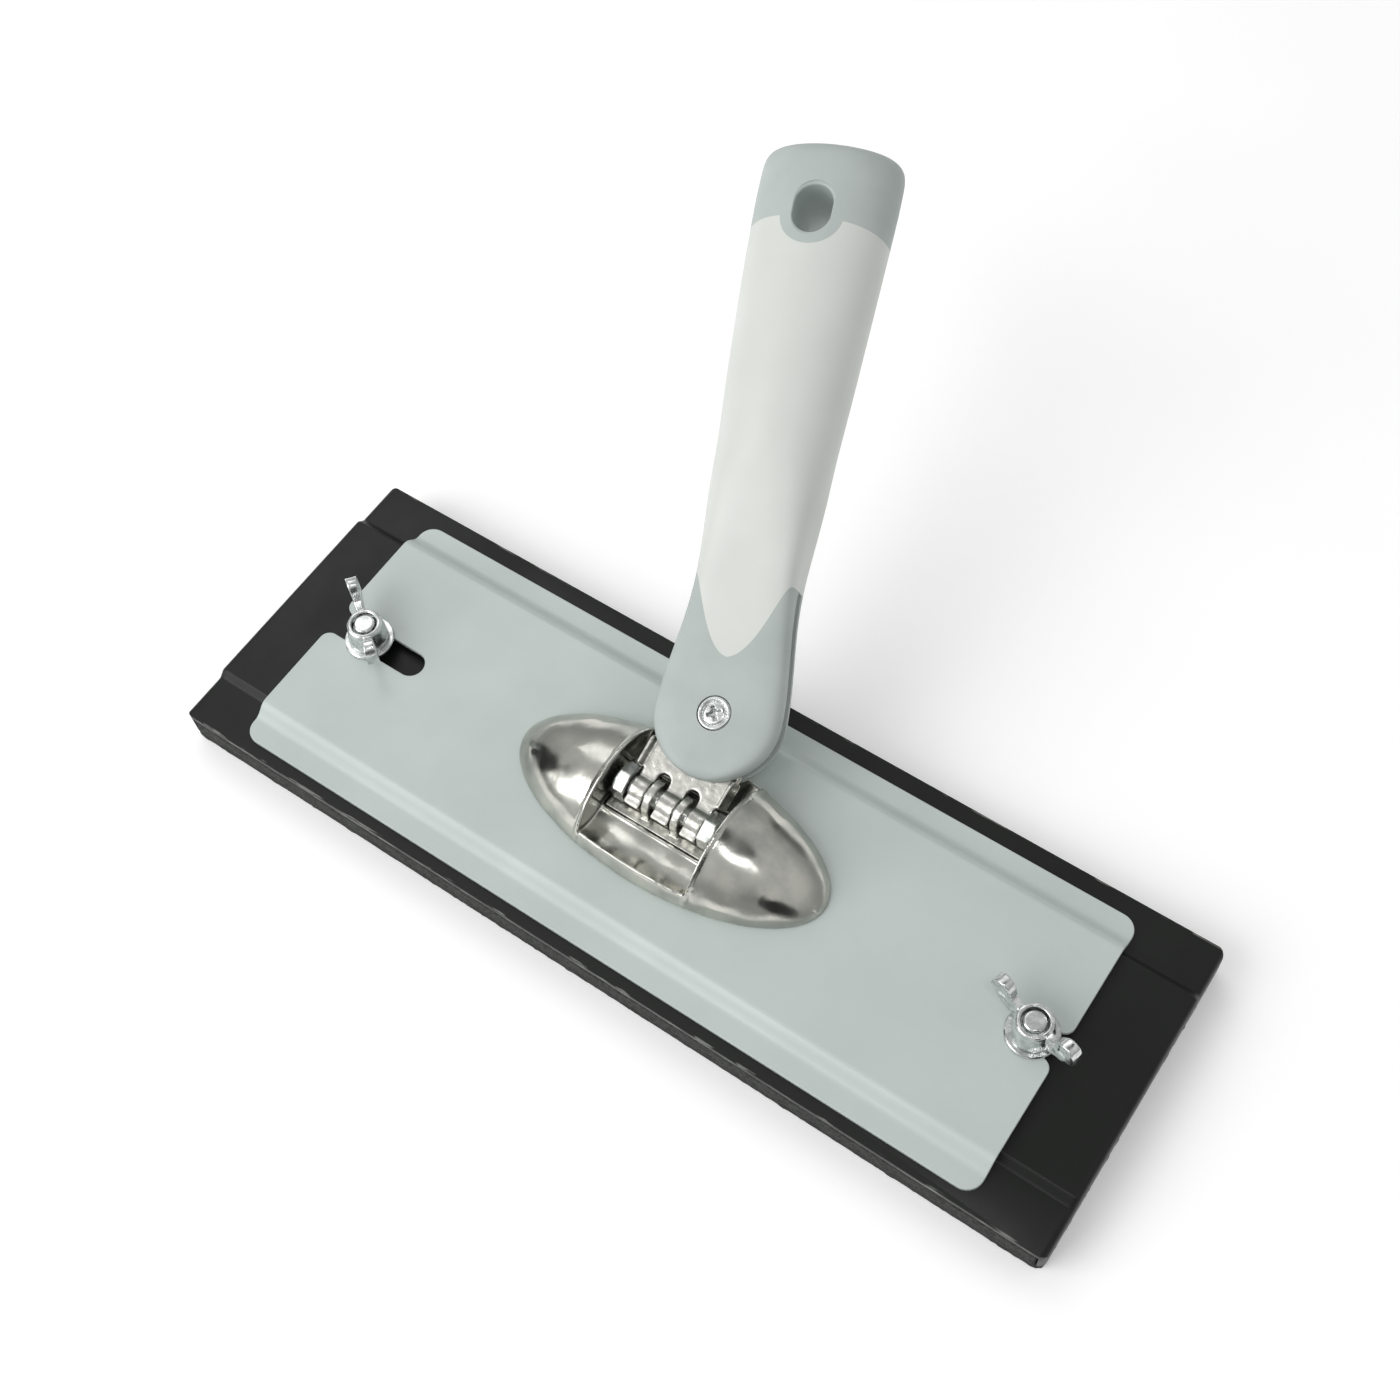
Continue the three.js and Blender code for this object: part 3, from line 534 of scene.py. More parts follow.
for side in ("left", "right"):
    stud_low, stud_high = box_mm(f"stud_{side}")
    middle = (stud_low + stud_high) / 2
    stud_shape = threaded_stud(stud_low.z, stud_high.z)
    place_shape(stud_shape, Matrix.Translation((middle.x, middle.y, 0.0)))
    stud = make_piece(f"threaded_stud_{side}", stud_shape, bright_zinc)
    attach(stud, "base")
    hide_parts(f"stud_{side}")


# ---------------------------------------------------------------------------
# Clamp plate: steel sheet with a raised crown, slotted from both ends so that
# it slides over the studs, powder coated light grey.
# ---------------------------------------------------------------------------

clamp_corner = 4.0
clamp_sheet = 1.2
crown_rise = 3.0
clamp_flange = 5.55
crown_slope = 2.6
crown_bend = 1.2
slot_width = 6.7
slot_mouth = 2.6
left_slot_length = 27.0

clamp_low, clamp_high = box_mm("clamp_plate")
clamp_middle = (clamp_low + clamp_high) / 2
half_length = clamp_high.x - clamp_middle.x
half_width = clamp_high.y - clamp_middle.y
right_stud_low, right_stud_high = box_mm("stud_right")
right_stud_x = (right_stud_low.x + right_stud_high.x) / 2 - clamp_middle.x
half_slot = slot_width / 2
slot_round = half_slot - 0.01
left_slot_end = -half_length + left_slot_length
right_slot_end = right_stud_x - half_slot - clearance

corners = [
    (-half_length, -half_width, clamp_corner),
    (half_length, -half_width, clamp_corner),
    (half_length, -half_slot, slot_mouth),
    (right_slot_end, -half_slot, slot_round),
    (right_slot_end, half_slot, slot_round),
    (half_length, half_slot, slot_mouth),
    (half_length, half_width, clamp_corner),
    (-half_length, half_width, clamp_corner),
    (-half_length, half_slot, slot_mouth),
    (left_slot_end, half_slot, slot_round),
    (left_slot_end, -half_slot, slot_round),
    (-half_length, -half_slot, slot_mouth),
]
clamp_shape = bmesh.new()
corner_verts = [(clamp_shape.verts.new((x, y, 0.0)), radius) for x, y, radius in corners]
clamp_shape.faces.new([vert for vert, radius in corner_verts])
for vert, radius in corner_verts:
    bmesh.ops.bevel(
        clamp_shape, geom=[vert], offset=radius, offset_type="OFFSET", segments=9,
        profile=0.5, affect="VERTICES", material=-1,
    )
crown_foot = half_width - clamp_flange
crown_edge = crown_foot - crown_slope
for y in bend_lines((crown_edge, crown_foot), crown_bend):
    for sign in (-1, 1):
        parts = clamp_shape.verts[:] + clamp_shape.edges[:] + clamp_shape.faces[:]
        bmesh.ops.bisect_plane(clamp_shape, geom=parts, plane_co=(0, sign * y, 0), plane_no=(0, 1, 0))
for vert in clamp_shape.verts:
    vert.co.z = crown_rise * (1 - smooth_ramp(abs(vert.co.y), crown_edge, crown_foot, crown_bend))
bmesh.ops.recalc_face_normals(clamp_shape, faces=clamp_shape.faces)
if max(clamp_shape.faces, key=lambda face: face.calc_area()).normal.z < 0:
    bmesh.ops.reverse_faces(clamp_shape, faces=clamp_shape.faces)
clamp_shape = modified(
    clamp_shape, "SOLIDIFY", thickness=clamp_sheet, offset=-1.0, use_even_offset=True
)
soften_edges(clamp_shape, 0.3, segments=3)
flange_top = clamp_high.z - crown_rise
place_shape(clamp_shape, Matrix.Translation((clamp_middle.x, clamp_middle.y, flange_top)))

# Powder coat lies as an even light grey with a faint orange peel a millimetre
# wide, and it keeps a soft shine.
powder_coat = mottled("light_grey_powder_coat", "#C1CAC7", "#BAC3C0", 30.0, 1.1, 0.02, (0.28, 0.4))
clamp_plate = make_piece("powder_coated_clamp_plate", clamp_shape, powder_coat)
clamp_plate.modifiers.new("even_shading", "WEIGHTED_NORMAL").keep_sharp = True
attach(clamp_plate, "clamp")
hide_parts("clamp_plate")


# ---------------------------------------------------------------------------
# Washers: plain M6 steel washers, blanked and zinc plated. Each lies on the
# clamp plate's crown, over the slot.
# ---------------------------------------------------------------------------

washer_radius = 6.0
washer_bore = 3.3
washer_chamfer = 0.25
washer_burr = 0.1

for side in ("left", "right"):
    washer_low, washer_high = box_mm(f"washer_{side}")
    middle = (washer_low + washer_high) / 2
    under, over = washer_low.z, washer_high.z
    washer_shape = turned([
        (washer_bore, under + washer_burr), (washer_bore + washer_burr, under),
        (washer_radius - washer_burr, under), (washer_radius, under + washer_burr),
        (washer_radius, over - washer_chamfer), (washer_radius - washer_chamfer, over),
        (washer_bore + washer_chamfer, over), (washer_bore, over - washer_chamfer),
    ], steps=96, closed=True)
    place_shape(washer_shape, Matrix.Translation((middle.x, middle.y, 0.0)))
    washer = make_piece(f"plain_washer_{side}", washer_shape, bright_zinc, sharp=30.0)
    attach(washer, f"washer_{side}")
    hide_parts(f"washer_{side}")


# ---------------------------------------------------------------------------
# Wing nuts: die-cast M6 wing nuts, barrel plated. The wings sweep out and up
# from a tapered hub, and they widen towards their tips.
# ---------------------------------------------------------------------------

def curve(points, count):
    """Points along a Bezier curve, without its last end."""
    places = []
    for step in range(count):
        share = step / count
        level = [Vector(point) for point in points]
        while len(level) > 1:
            level = [a.lerp(b, share) for a, b in zip(level, level[1:])]
        places.append((level[0].x, level[0].y))
    return places


def drawn(outline, start, end):
    """Raises a closed outline of (x, y) points from one height to another."""
    shape = bmesh.new()
    face = shape.faces.new([shape.verts.new((x, y, start)) for x, y in outline])
    grown = bmesh.ops.extrude_face_region(shape, geom=[face])["geom"]
    moved = [part for part in grown if isinstance(part, bmesh.types.BMVert)]
    bmesh.ops.translate(shape, vec=(0.0, 0.0, end - start), verts=moved)
    bmesh.ops.recalc_face_normals(shape, faces=shape.faces)
    return shape


hub_height = 6.2
hub_base = 4.9
hub_top = 4.3
nut_bore = 3.06
wing_tip = 12.0
wing_rise = 4.8
wing_root_half = 0.85
wing_tip_half = 1.5
upright_plate = Matrix.Rotation(math.pi / 2, 4, "X")


def wing():
    """One wing, in the plane of X and Z, with a shallow recess in each face."""
    tip_z = hub_height + wing_rise
    root = hub_top - 1.2
    outline = [(root, 0.7)]
    outline += curve([(hub_base - 0.4, 0.7), (wing_tip - 3.4, 2.0), (wing_tip, tip_z - 4.6)], 8)
    outline += curve([(wing_tip, tip_z - 4.6), (wing_tip + 0.1, tip_z), (wing_tip - 2.8, tip_z)], 8)
    inner_foot = (wing_tip - 5.8, hub_height + 0.9)
    outline += curve([(wing_tip - 2.8, tip_z), (wing_tip - 5.0, tip_z - 0.1), inner_foot], 8)
    outline += [inner_foot, (root, hub_height - 0.7)]
    shape = drawn(outline, -1.0, 1.0)
    recess_x, recess_z = wing_tip - 3.3, tip_z - 3.3
    for sign in (-1, 1):
        depth = sorted((sign * 0.72, sign * 2.0))
        shape = carve(shape, block(recess_x - 1.2, recess_x + 1.2, recess_z - 1.9, recess_z + 1.9, *depth))
    place_shape(shape, upright_plate)
    for vert in shape.verts:
        share = min(max((vert.co.x - root) / (wing_tip - root), 0.0), 1.0)
        vert.co.y *= wing_root_half + (wing_tip_half - wing_root_half) * share
    return shape


def wing_nut():
    """A tapered hub and two wings, melted together and bored through."""
    hub = turned([
        (nut_bore, 0.0), (hub_base - 0.3, 0.0), (hub_base, 0.35), (hub_base - 0.1, 1.3),
        (hub_top, hub_height - 1.1), (hub_top - 0.15, hub_height - 0.3), (hub_top - 0.6, hub_height),
        (nut_bore + 0.15, hub_height), (nut_bore, hub_height - 0.15),
    ], closed=True)
    other_wing = place_shape(wing(), Matrix.Rotation(math.pi, 4, "Z"))
    bore = turned([(0, -1), (nut_bore, -1), (nut_bore, hub_height + 2), (0, hub_height + 2)])
    solid = modified(together(hub, wing(), other_wing), "REMESH", mode="VOXEL", voxel_size=0.2)
    solid = carve(solid, bore)
    return cast(solid, 0.17, 3)


for side, angle in (("left", 142.0), ("right", 164.0)):
    nut_low, nut_high = box_mm(f"wing_nut_{side}")
    middle = (nut_low + nut_high) / 2
    nut_shape = wing_nut()
    roughen(nut_shape, 2.0, 0.12)
    turned_to = Matrix.Rotation(math.radians(angle), 4, "Z")
    place_shape(nut_shape, Matrix.Translation((middle.x, middle.y, nut_low.z)) @ turned_to)
    nut = make_piece(f"cast_wing_nut_{side}", nut_shape, bright_zinc, sharp=80.0)
    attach(nut, f"nut_{side}")
    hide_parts(f"wing_nut_{side}")


# ---------------------------------------------------------------------------
# Knuckle: an oval dome of die-cast zinc, tumbled bright, with a channel across
# it for the hinge. Two screws from below hold it to the clamp plate.
# ---------------------------------------------------------------------------

dome_fullness = 1.36
dome_height = 14.7
channel_half = 14.5
channel_floor = 2.5
rim_height = 4.4
rim_y = 16.4
scoop_y = 7.0
ledge_step = 0.2
window_half_width = 6.3
window_half_length = 14.2
lip_width = 0.9
lip_rise = 0.35

knuckle_low, knuckle_high = box_mm("knuckle")
knuckle_middle = (knuckle_low + knuckle_high) / 2
knuckle_place = Matrix.Translation((knuckle_middle.x, knuckle_middle.y, knuckle_low.z))
along_x = Matrix(((0, 0, 1, 0), (1, 0, 0, 0), (0, 1, 0, 0), (0, 0, 0, 1)))


def dome(extra):
    """The oval dome, grown all round by an extra."""
    shape = bmesh.new()
    bmesh.ops.create_uvsphere(shape, u_segments=128, v_segments=96, radius=1.0)
    parts = shape.verts[:] + shape.edges[:] + shape.faces[:]
    bmesh.ops.bisect_plane(
        shape, geom=parts, dist=1e-4, plane_co=(0, 0, 0), plane_no=(0, 0, 1), clear_inner=True
    )
    bmesh.ops.holes_fill(shape, edges=[e for e in shape.edges if e.is_boundary], sides=0)
    for vert in shape.verts:
        vert.co.z = max(vert.co.z, 0.0) ** dome_fullness
    size = knuckle_high - knuckle_middle
    bmesh.ops.scale(shape, vec=(size.x + extra, size.y + extra, dome_height + extra), verts=shape.verts)
    bmesh.ops.recalc_face_normals(shape, faces=shape.faces)
    return shape


scoop_foot = (-scoop_y, channel_floor - ledge_step)
scoop = curve([(-rim_y, rim_height), (-rim_y + 4.4, 1.1), scoop_foot], 10)
floor_line = [scoop_foot, (-scoop_y, channel_floor)]
near_half = [(-30.0, rim_height)] + scoop + floor_line
far_half = [(-y, z) for y, z in reversed(near_half)]
channel = drawn(near_half + far_half + [(30.0, 30.0), (-30.0, 30.0)], -channel_half, channel_half)
place_shape(channel, along_x)
window = block(
    -window_half_length, window_half_length, -window_half_width, window_half_width, -3.0, 20.0
)
lips = []
for start in (-channel_half - lip_width, channel_half):
    slab = block(start, start + lip_width, -30.0, 30.0, 1.0, 30.0)
    lips.append(carve(dome(lip_rise), slab, operation="INTERSECT"))
knuckle_shape = cast(together(carve(dome(0.0), channel, window), *lips), 0.3, 1)
roughen(knuckle_shape, 5.0, 0.14)
place_shape(knuckle_shape, knuckle_place)

# Tumbling leaves cast zinc a warm mid grey, shiny but uneven: the skin waves
# over a few millimetres, so that reflections break up into patches.
tumbled_zinc = mottled("tumbled_zinc_casting", "#CFCEC6", "#B4B5AF", 6.0, 2.4, 0.025, (0.12, 0.26), 1.0)
knuckle = make_piece("domed_knuckle", knuckle_shape, tumbled_zinc, sharp=80.0)
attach(knuckle, "clamp")
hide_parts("knuckle")

for side in ("left", "right"):
    frame["nodes"][f"knuckle_screw_{side}"].material_slots[0].material = bright_zinc


# ---------------------------------------------------------------------------
# Hinge block: a die-cast bar in the knuckle's window, with two round ears that
# carry the hinge bolt. It is left as cast.
# ---------------------------------------------------------------------------

hinge_height = 5.95
pin_radius = 2.5
ear_radius = 4.4
ear_half = 0.95
ear_x = 3.9
block_half_width = 6.0
block_half_length = 13.9
trough_radius = 4.92


def rod_x(radius, x0, x1, y=0.0, z=0.0, steps=64):
    """A plain rod along X."""
    shape = turned([(0, x0), (radius, x0), (radius, x1), (0, x1)], steps)
    place_shape(shape, along_x)
    return place_shape(shape, Matrix.Translation((0.0, y, z)))


bar = block(-block_half_length, block_half_length, -block_half_width, block_half_width, 0.0, channel_floor)
bar = carve(bar, rod_x(trough_radius, -20.0, 20.0, 0.0, hinge_height))
ears = []
for middle in (-ear_x, ear_x):
    ears.append(rod_x(ear_radius, middle - ear_half, middle + ear_half, 0.0, hinge_height))
    ears.append(block(middle - ear_half, middle + ear_half, -ear_radius, ear_radius, 0.3, hinge_height))
hinge_block_shape = cast(together(bar, *ears), 0.2, 2)
roughen(hinge_block_shape, 0.9, 0.05)
place_shape(hinge_block_shape, knuckle_place)

# As-cast zinc is brighter where the mould was smooth and pitted elsewhere, in
# grains of about half a millimetre.
as_cast_zinc = mottled("as_cast_zinc", "#CFCEC8", "#ACACA6", 1.6, 0.7, 0.03, (0.24, 0.4), 1.0)
hinge_block = make_piece("cast_hinge_block", hinge_block_shape, as_cast_zinc, sharp=80.0)
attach(hinge_block, "clamp")
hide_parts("hinge_block")


# ---------------------------------------------------------------------------
# Hinge bolt and nut: an M5 hexagon bolt right through the bracket's barrels
# and the block's ears, with a nut at the other end. Both are zinc plated.
# ---------------------------------------------------------------------------

hex_flats = 8.0
hex_chamfer = 0.7
hinge = Vector(next(j for j in frame["joints"] if j["name"] == "handle_tilt")["pos_m"]) / MM
hinge_place = Matrix.Translation(hinge)


def hexagon_head(x0, x1):
    """A hexagon along X whose outer corners are turned off at a slant."""
    corner = hex_flats / math.sqrt(3.0)
    shape = bmesh.new()
    bmesh.ops.create_cone(shape, cap_ends=True, segments=6, radius1=corner, radius2=corner, depth=x1 - x0)
    place_shape(shape, along_x @ Matrix.Translation((0.0, 0.0, (x0 + x1) / 2)))
    inner, outer = sorted((x0, x1), key=abs)
    reach = corner - hex_chamfer
    slant = hex_chamfer if outer > 0 else -hex_chamfer
    profile = [(0, inner), (corner + 0.1, inner), (corner + 0.1, outer - slant), (reach, outer), (0, outer)]
    limit = place_shape(turned(profile, 96), along_x)
    return carve(shape, limit, operation="INTERSECT")


bolt_low, bolt_high = (corner - hinge for corner in box_mm("hinge_bolt"))
nut_low, nut_high = (corner - hinge for corner in box_mm("hinge_nut"))
head_end = bolt_low.x + (nut_high.x - nut_low.x)
bolt_shape = cast(
    together(hexagon_head(bolt_low.x, head_end), rod_x(pin_radius, head_end - 0.5, bolt_high.x)), 0.18, 2
)
bolt_nut_shape = cast(hexagon_head(nut_low.x, nut_high.x), 0.18, 2)

# Handled zinc plating has lost its first shine: a dull silver with grey smears.
dull_zinc = mottled("dull_zinc_plating", "#CDCFCC", "#A0A3A0", 1.8, 0.6, 0.03, (0.2, 0.36), 1.0)

for name, shape, node in (
    ("hexagon_hinge_bolt", bolt_shape, "hinge_bolt"),
    ("hexagon_hinge_nut", bolt_nut_shape, "hinge_nut"),
):
    piece = make_piece(name, place_shape(shape, hinge_place), dull_zinc, sharp=80.0)
    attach(piece, "clamp")
    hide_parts(node)


# ---------------------------------------------------------------------------
# Bracket: one zinc casting with three hinge barrels, a web between two thin
# flanges, and the round tongue that the handle's fork closes on.
# ---------------------------------------------------------------------------

hinge_barrel_radius = 3.0
barrel_half = 9.7
heel_half = 1.9
heel_reach = 4.3
web_half = 11.2
web_start = 4.92
tongue_half = 1.1
tongue_radius = 14.2
lug_radius = 14.8
flange_thickness = 0.9
flange_depth = 3.2
flange_bulge = 0.3
flange_corner = 1.2
notch = 1.65

pivot_joint = next(j for j in frame["joints"] if j["name"] == "handle_swivel")
pivot = Vector(pivot_joint["pos_m"]) / MM
reach = (pivot - hinge).length
up_bracket = (pivot - hinge).normalized()
out_of_face = Vector(pivot_joint["axis"]).normalized()
bracket_axes = Matrix((Vector((1, 0, 0)), up_bracket, out_of_face)).transposed().to_4x4()
bracket_place = hinge_place @ bracket_axes

flange_middle = web_half - flange_thickness / 2
keep_off = lug_radius + clearance
flange_end = reach - math.sqrt(keep_off ** 2 - flange_middle ** 2) - clearance
tongue = turned(
    [(0, -tongue_half), (tongue_radius, -tongue_half), (tongue_radius, tongue_half), (0, tongue_half)], 96
)
solid_parts = [
    block(-web_half, web_half, web_start, reach, -tongue_half, tongue_half),
    block(-barrel_half, barrel_half, 0.0, web_start + 1, -tongue_half, tongue_half),
    rod_x(hinge_barrel_radius, -barrel_half, barrel_half),
    block(-barrel_half, barrel_half, -heel_reach, 0.0, -heel_half, heel_half),
    place_shape(tongue, Matrix.Translation((0.0, reach, 0.0))),
]
for sign in (-1, 1):
    x0, x1 = sorted((sign * web_half, sign * (web_half - flange_thickness)))
    side_flange = drawn([
        (web_start + 0.1, -flange_depth), (flange_end, -flange_depth), (flange_end + flange_bulge, 0.0),
        (flange_end, flange_depth - flange_corner / 2), (flange_end - flange_corner, flange_depth),
        (web_start + 0.1, flange_depth),
    ], x0, x1)
    solid_parts.append(place_shape(side_flange, along_x))
bracket_shape = modified(together(*solid_parts), "REMESH", mode="VOXEL", voxel_size=0.24)
for middle in (-ear_x, ear_x):
    slot_end = turned([(0, -6), (notch, -6), (notch, 6), (0, 6)], 48)
    place_shape(slot_end, Matrix.Translation((middle, ear_radius - 0.1, 0.0)))
    bracket_shape = carve(
        bracket_shape, block(middle - notch, middle + notch, -8.0, ear_radius - 0.1, -6.0, 6.0), slot_end
    )
bracket_shape = carve(bracket_shape, rod_x(pin_radius + 0.15, -20.0, 20.0))
bracket_shape = cast(bracket_shape, 0.23, 2)
roughen(bracket_shape, 1.5, 0.04)
bracket = make_piece("cast_bracket", place_shape(bracket_shape, bracket_place), as_cast_zinc, sharp=80.0)
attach(bracket, "bracket")
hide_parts("bracket")


# ---------------------------------------------------------------------------
# Handle core: one moulding in white polypropylene, an oval grip that narrows
# to a waist and ends in a fork. It is left thinner where the grey skins lie.
# ---------------------------------------------------------------------------

swivel_lean = 18.6
lug_half_thickness = 6.1
lug_edge_run = 3.0
lug_edge_drop = 2.4
fork_half = 1.6
fork_depth = 29.0
waist_along = 30.0
waist_half_width = 11.9
swell_start = waist_along - 14.0
swell_end = waist_along + 34.0
grip_along = 82.0
grip_half_width = 15.2
grip_half_thickness = 11.5
grip_forward = 5.0
top_start = 121.0
top_end = 133.8
top_half_width = 16.9

handle_axes = Matrix.Rotation(math.radians(swivel_lean), 4, "Z")
handle_place = Matrix.Translation(pivot) @ bracket_axes @ handle_axes


def smooth_step(at, start, end):
    """Eases from 0 to 1 between two places."""
    share = min(max((at - start) / (end - start), 0.0), 1.0)
    return share * share * (3 - 2 * share)


def through(stations, at):
    """A smooth curve through (place, value) stations."""
    slopes = [(c[1] - a[1]) / (c[0] - a[0]) for a, c in zip(stations, stations[2:])]
    slopes = [slopes[0] / 2] + slopes + [slopes[-1] / 2]
    for start, end, slope_in, slope_out in zip(stations, stations[1:], slopes, slopes[1:]):
        if at <= end[0]:
            span = end[0] - start[0]
            t = (at - start[0]) / span
            value = (2 * t ** 3 - 3 * t ** 2 + 1) * start[1] + (3 * t ** 2 - 2 * t ** 3) * end[1]
            return value + span * ((t ** 3 - 2 * t ** 2 + t) * slope_in + (t ** 3 - t ** 2) * slope_out)
    return stations[-1][1]


def half_width_at(along):
    """Half the handle's width: a round lug, a waist, a swelling grip and a squarish top."""
    if along <= 0:
        return math.sqrt(max(lug_radius ** 2 - along ** 2, 0.0))
    if along >= top_start:
        share = min((along - top_start) / (top_end - top_start), 1.0)
        return top_half_width * (1 - share ** 7) ** (1 / 4)
    return through([
        (0.0, lug_radius), (waist_along, waist_half_width),
        ((waist_along + grip_along) / 2, (waist_half_width + grip_half_width) / 2),
        (grip_along, grip_half_width), (top_start, top_half_width),
    ], along)


def half_thickness_at(along):
    """Half the handle's thickness, rounded off at the lug's lower edge and at the top."""
    if along <= 0:
        share = min(max((lug_edge_run - along - lug_radius) / lug_edge_run, 0.0), 1.0)
        return lug_half_thickness - lug_edge_drop * (1 - math.sqrt(1 - share ** 2))
    if along >= top_start:
        share = min((along - top_start) / (top_end - top_start), 1.0)
        return grip_half_thickness * (1 - share ** 5) ** (1 / 2.6)
    swell = smooth_step(along, swell_start, swell_end)
    return lug_half_thickness + swell * (grip_half_thickness - lug_half_thickness)


def forward_at(along):
    """How far the handle's middle leans out of the line of the lug."""
    return grip_forward * smooth_step(along, swell_start, top_start)


def handle_form(inset=0.0):
    """The handle's whole form: a spun tube drawn to the section of each place.

    An inset makes each section that much smaller all round, and so is the lug's
    lower end, for the part under a skin. Its top stays where it is.
    """
    lug = [-lug_radius * math.cos(math.radians(angle)) for angle in range(5, 91, 5)]
    grip = [0.8 + 1.6 * step for step in range(75)]
    top = [top_start + (top_end - top_start) * math.sin(math.radians(angle)) for angle in range(0, 89, 4)]
    stations = lug + grip + top
    profile = [(0.0, -lug_radius)] + [(1.0, along) for along in stations] + [(0.0, top_end)]
    form = turned(profile, 128)
    thinnest = 0.3
    for vert in form.verts:
        across, depth, along = vert.co
        size = math.hypot(across, depth)
        angle = math.atan2(depth, across)
        square = 2 + 3 * (1 - smooth_step(along, waist_along - 10, waist_along + 36))
        x = math.copysign(abs(math.cos(angle)) ** (2 / square), math.cos(angle))
        z = math.copysign(abs(math.sin(angle)) ** (2 / square), math.sin(angle))
        x *= size * max(half_width_at(along) - inset, thinnest)
        z *= size * max(half_thickness_at(along) - inset, thinnest)
        y = along * (1 - inset / lug_radius) if along < 0 else along
        vert.co = Vector((x, y, forward_at(along) + z))
    # Laying the tube down by swapping two axes mirrors it, which turns its faces inwards.
    bmesh.ops.reverse_faces(form, faces=form.faces)
    return form


hole_along = 115.6
hole_half = 4.5
hole_straight = 1.2
hole_ring = 7.5
tip_along = 12.9
v_border = waist_along + 1


def lower_zone():
    """The grey zone round the lug: a rounded V between two arms up the sides."""
    far = waist_half_width + 6
    edge = waist_half_width - 0.6
    right_arm = curve([(edge, v_border), (9.5, waist_along), (6.0, tip_along + 1), (0.0, tip_along)], 16)
    left_arm = curve([(0.0, tip_along), (-6.0, tip_along + 1), (-9.5, waist_along), (-edge, v_border)], 16)
    outline = [(-far, -lug_radius - 5), (far, -lug_radius - 5), (far, v_border)] + right_arm + left_arm
    return drawn(outline + [(-edge, v_border), (-far, v_border)], -30.0, 30.0)


def cap_zone():
    """The grey cap: two pale humps meet it beside a ring round the hanging hole."""
    far = top_half_width + 6
    hump = hole_along - 2.2
    low = hole_along - 3.6
    ring_middle = hole_along - 1.1
    dip = math.asin((ring_middle - hump) / hole_ring)
    ring = []
    for step in range(25):
        angle = math.pi + dip + (math.pi - 2 * dip) * step / 24
        ring.append((hole_ring * math.cos(angle), ring_middle + hole_ring * math.sin(angle)))
    left_hump = curve([(-top_half_width, low), (-top_half_width + 3, hump), (ring[0][0], hump)], 8)
    right_hump = curve([(ring[-1][0], hump), (top_half_width - 3, hump), (top_half_width, low)], 8)
    outline = [(-far, low)] + left_hump + ring + right_hump[1:] + [(top_half_width, low), (far, low)]
    return drawn(outline + [(far, top_end + 5), (-far, top_end + 5)], -30.0, 40.0)


skin_thickness = 1.6
screw_radius = 3.9
sleeve_radius = 3.0
seat_clearance = 0.12
seat_depth = 3.6
outside = 40.0


def screw_seats():
    """What the swivel screw's head, its shank and its sleeve nut take out of the fork."""
    head = screw_radius + seat_clearance
    sleeve = sleeve_radius + seat_clearance
    end = outside / 2
    return turned([
        (0, -end), (sleeve, -end), (sleeve, seat_depth), (head, seat_depth), (head, end), (0, end),
    ])


fork_gap = block(-outside, outside, -outside, fork_depth, -fork_half, fork_half)
skin_room = carve(lower_zone(), handle_form(skin_thickness))
core_shape = carve(handle_form(), skin_room, cap_zone(), fork_gap, screw_seats())

# Moulded polypropylene is an off-white with a fine satin texture.
white_plastic = mottled("satin_white_polypropylene", "#D7DAD5", "#D2D5D0", 24.0, 0.35, 0.006, (0.38, 0.46))
core = make_piece("white_handle_core", place_shape(core_shape, handle_place), white_plastic, sharp=40.0)
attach(core, "handle")
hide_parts("handle_core")


# ---------------------------------------------------------------------------
# Grey skins and cap: soft-touch rubber moulded over the fork's two cheeks and
# over the handle's top, where it also lines the hanging hole.
# ---------------------------------------------------------------------------

def cheek(front):
    """One cheek's skin: the outer form in the grey zone, hollowed to the core under it."""
    near, far = (fork_half, outside) if front else (-outside, -fork_half)
    half = block(-outside, outside, -outside, 1.5 * outside, near, far)
    shape = carve(handle_form(), lower_zone(), half, operation="INTERSECT")
    return carve(shape, handle_form(skin_thickness), screw_seats())


def hanging_hole():
    """A long hole right through, with its two rims rounded off."""
    middle = forward_at(hole_along)
    rim = 0.6
    rim_sunk = 0.4
    mouth = hole_half + rim + 2
    end = grip_half_thickness + 3
    profile = [(0.0, middle - end), (mouth, middle - end)]
    for side, angles in ((-1, range(0, 91, 15)), (1, range(90, -1, -15))):
        for angle in angles:
            turn_in = math.radians(angle)
            radius = hole_half + rim * (1 - math.sin(turn_in))
            height = grip_half_thickness - rim_sunk - rim * (1 - math.cos(turn_in))
            profile.append((radius, middle + side * height))
    profile += [(mouth, middle + end), (0.0, middle + end)]
    shape = turned(profile, 64)
    for vert in shape.verts:
        vert.co.y += math.copysign(hole_straight, vert.co.y) if abs(vert.co.y) > 1e-4 else 0.0
    return place_shape(shape, Matrix.Translation((0.0, hole_along, 0.0)))


# Soft-touch rubber is matt, a shade greyer than the core, and slightly dusty.
grey_rubber = mottled("soft_touch_grey_rubber", "#B6BEBB", "#AEB6B3", 14.0, 0.4, 0.012, (0.5, 0.62))

cap_shape = carve(carve(handle_form(), cap_zone(), operation="INTERSECT"), hanging_hole())
for name, shape, node in (
    ("front_cheek_skin", cheek(True), "lower_skin_front"),
    ("back_cheek_skin", cheek(False), "lower_skin_back"),
    ("hang_hole_cap", cap_shape, "top_cap"),
):
    piece = make_piece(name, place_shape(shape, handle_place), grey_rubber, sharp=40.0)
    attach(piece, "handle")
    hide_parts(node)


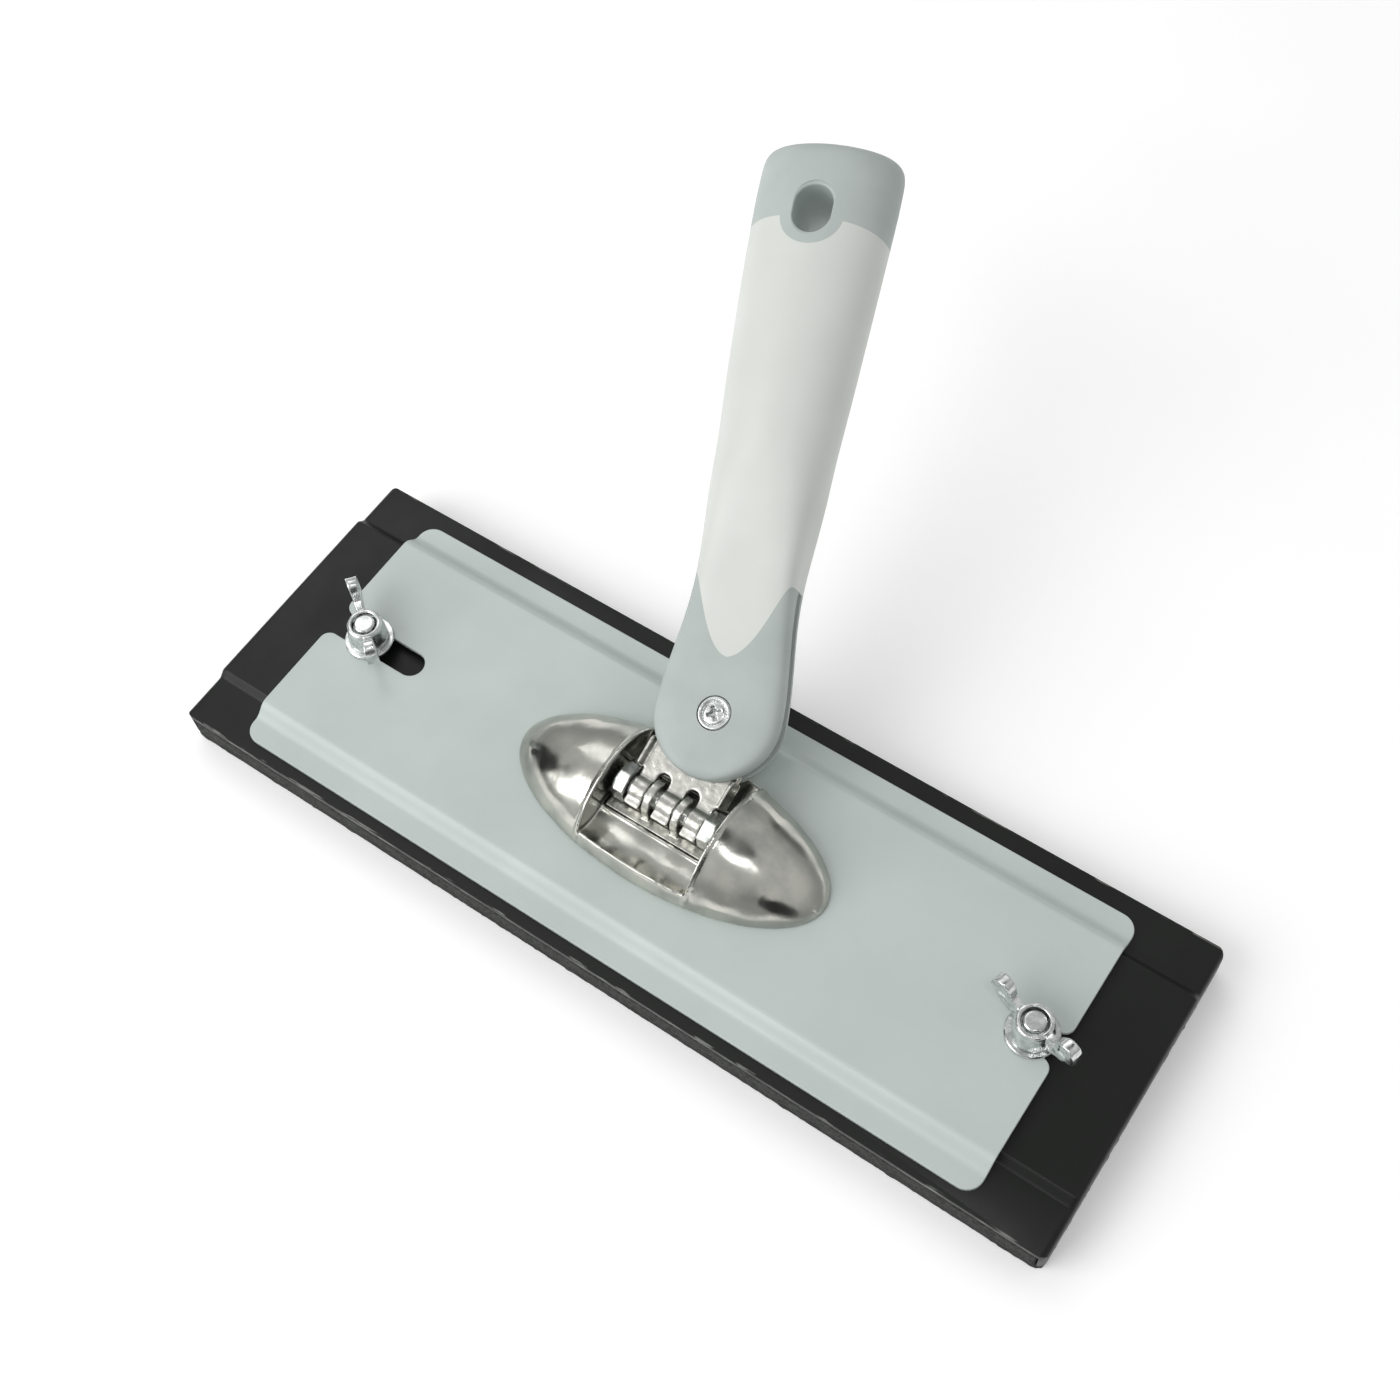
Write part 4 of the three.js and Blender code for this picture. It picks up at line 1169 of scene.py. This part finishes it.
# ---------------------------------------------------------------------------
# Swivel screw, barrel nut and friction washers: a cross-recessed screw in a
# raised ring, the sleeve nut behind it, and two nylon discs in the fork.
# ---------------------------------------------------------------------------

ring_top = lug_half_thickness + 0.1
dish_radius = 2.75
head_bottom = 3.9
arm_reach = 1.75
arm_half = 0.42
recess_depth = 1.6
recess_turn = 24.0
shank_radius = 2.0
shank_end = -4.7
sleeve_bore = 2.15
sleeve_floor = -4.9
sleeve_mouth = -fork_half - clearance

screw_shape = turned([
    (0, head_bottom), (screw_radius, head_bottom), (screw_radius, ring_top - 0.3),
    (screw_radius - 0.3, ring_top), (dish_radius + 0.35, ring_top), (dish_radius + 0.1, ring_top - 0.35),
    (dish_radius, ring_top - 0.7), (dish_radius - 0.15, ring_top - 0.35),
    (dish_radius - 0.6, ring_top - 0.15), (0, ring_top - 0.05),
], 96)
for angle in (recess_turn, recess_turn + 90.0):
    arm = block(-arm_reach, arm_reach, -arm_half, arm_half, ring_top - recess_depth, ring_top + 1)
    screw_shape = carve(screw_shape, place_shape(arm, Matrix.Rotation(math.radians(angle), 4, "Z")))
pit = turned([(0, ring_top - 1.7), (0.5, ring_top - 1.5), (1.25, ring_top + 0.5), (0, ring_top + 0.5)], 32)
screw_shape = cast(carve(screw_shape, pit), 0.1, 2)
shank = turned([
    (0, shank_end), (shank_radius, shank_end), (shank_radius, head_bottom + 0.3), (0, head_bottom + 0.3),
], 48)
whole_screw = place_shape(together(screw_shape, shank), handle_place)
screw = make_piece("cross_recess_swivel_screw", whole_screw, bright_zinc, sharp=60.0)
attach(screw, "handle")
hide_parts("swivel_screw")

barrel_shape = turned([
    (0, -ring_top + 0.5), (1.6, -ring_top + 0.5), (1.8, -ring_top + 0.1), (2.1, -ring_top), (2.7, -ring_top),
    (sleeve_radius, -ring_top + 0.3), (sleeve_radius, sleeve_mouth), (sleeve_bore, sleeve_mouth),
    (sleeve_bore, sleeve_floor), (0, sleeve_floor),
], 96)
barrel = make_piece("sleeve_nut", place_shape(barrel_shape, handle_place), bright_zinc, sharp=40.0)
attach(barrel, "handle")
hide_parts("barrel_nut")

# Natural nylon is a milky off-white with a waxy shine.
natural_nylon = mottled("natural_nylon", "#E9E7DD", "#DEDBCF", 3.0, 0.4, 0.01, (0.42, 0.55))
for side in ("front", "back"):
    frame["nodes"][f"friction_washer_{side}"].material_slots[0].material = natural_nylon
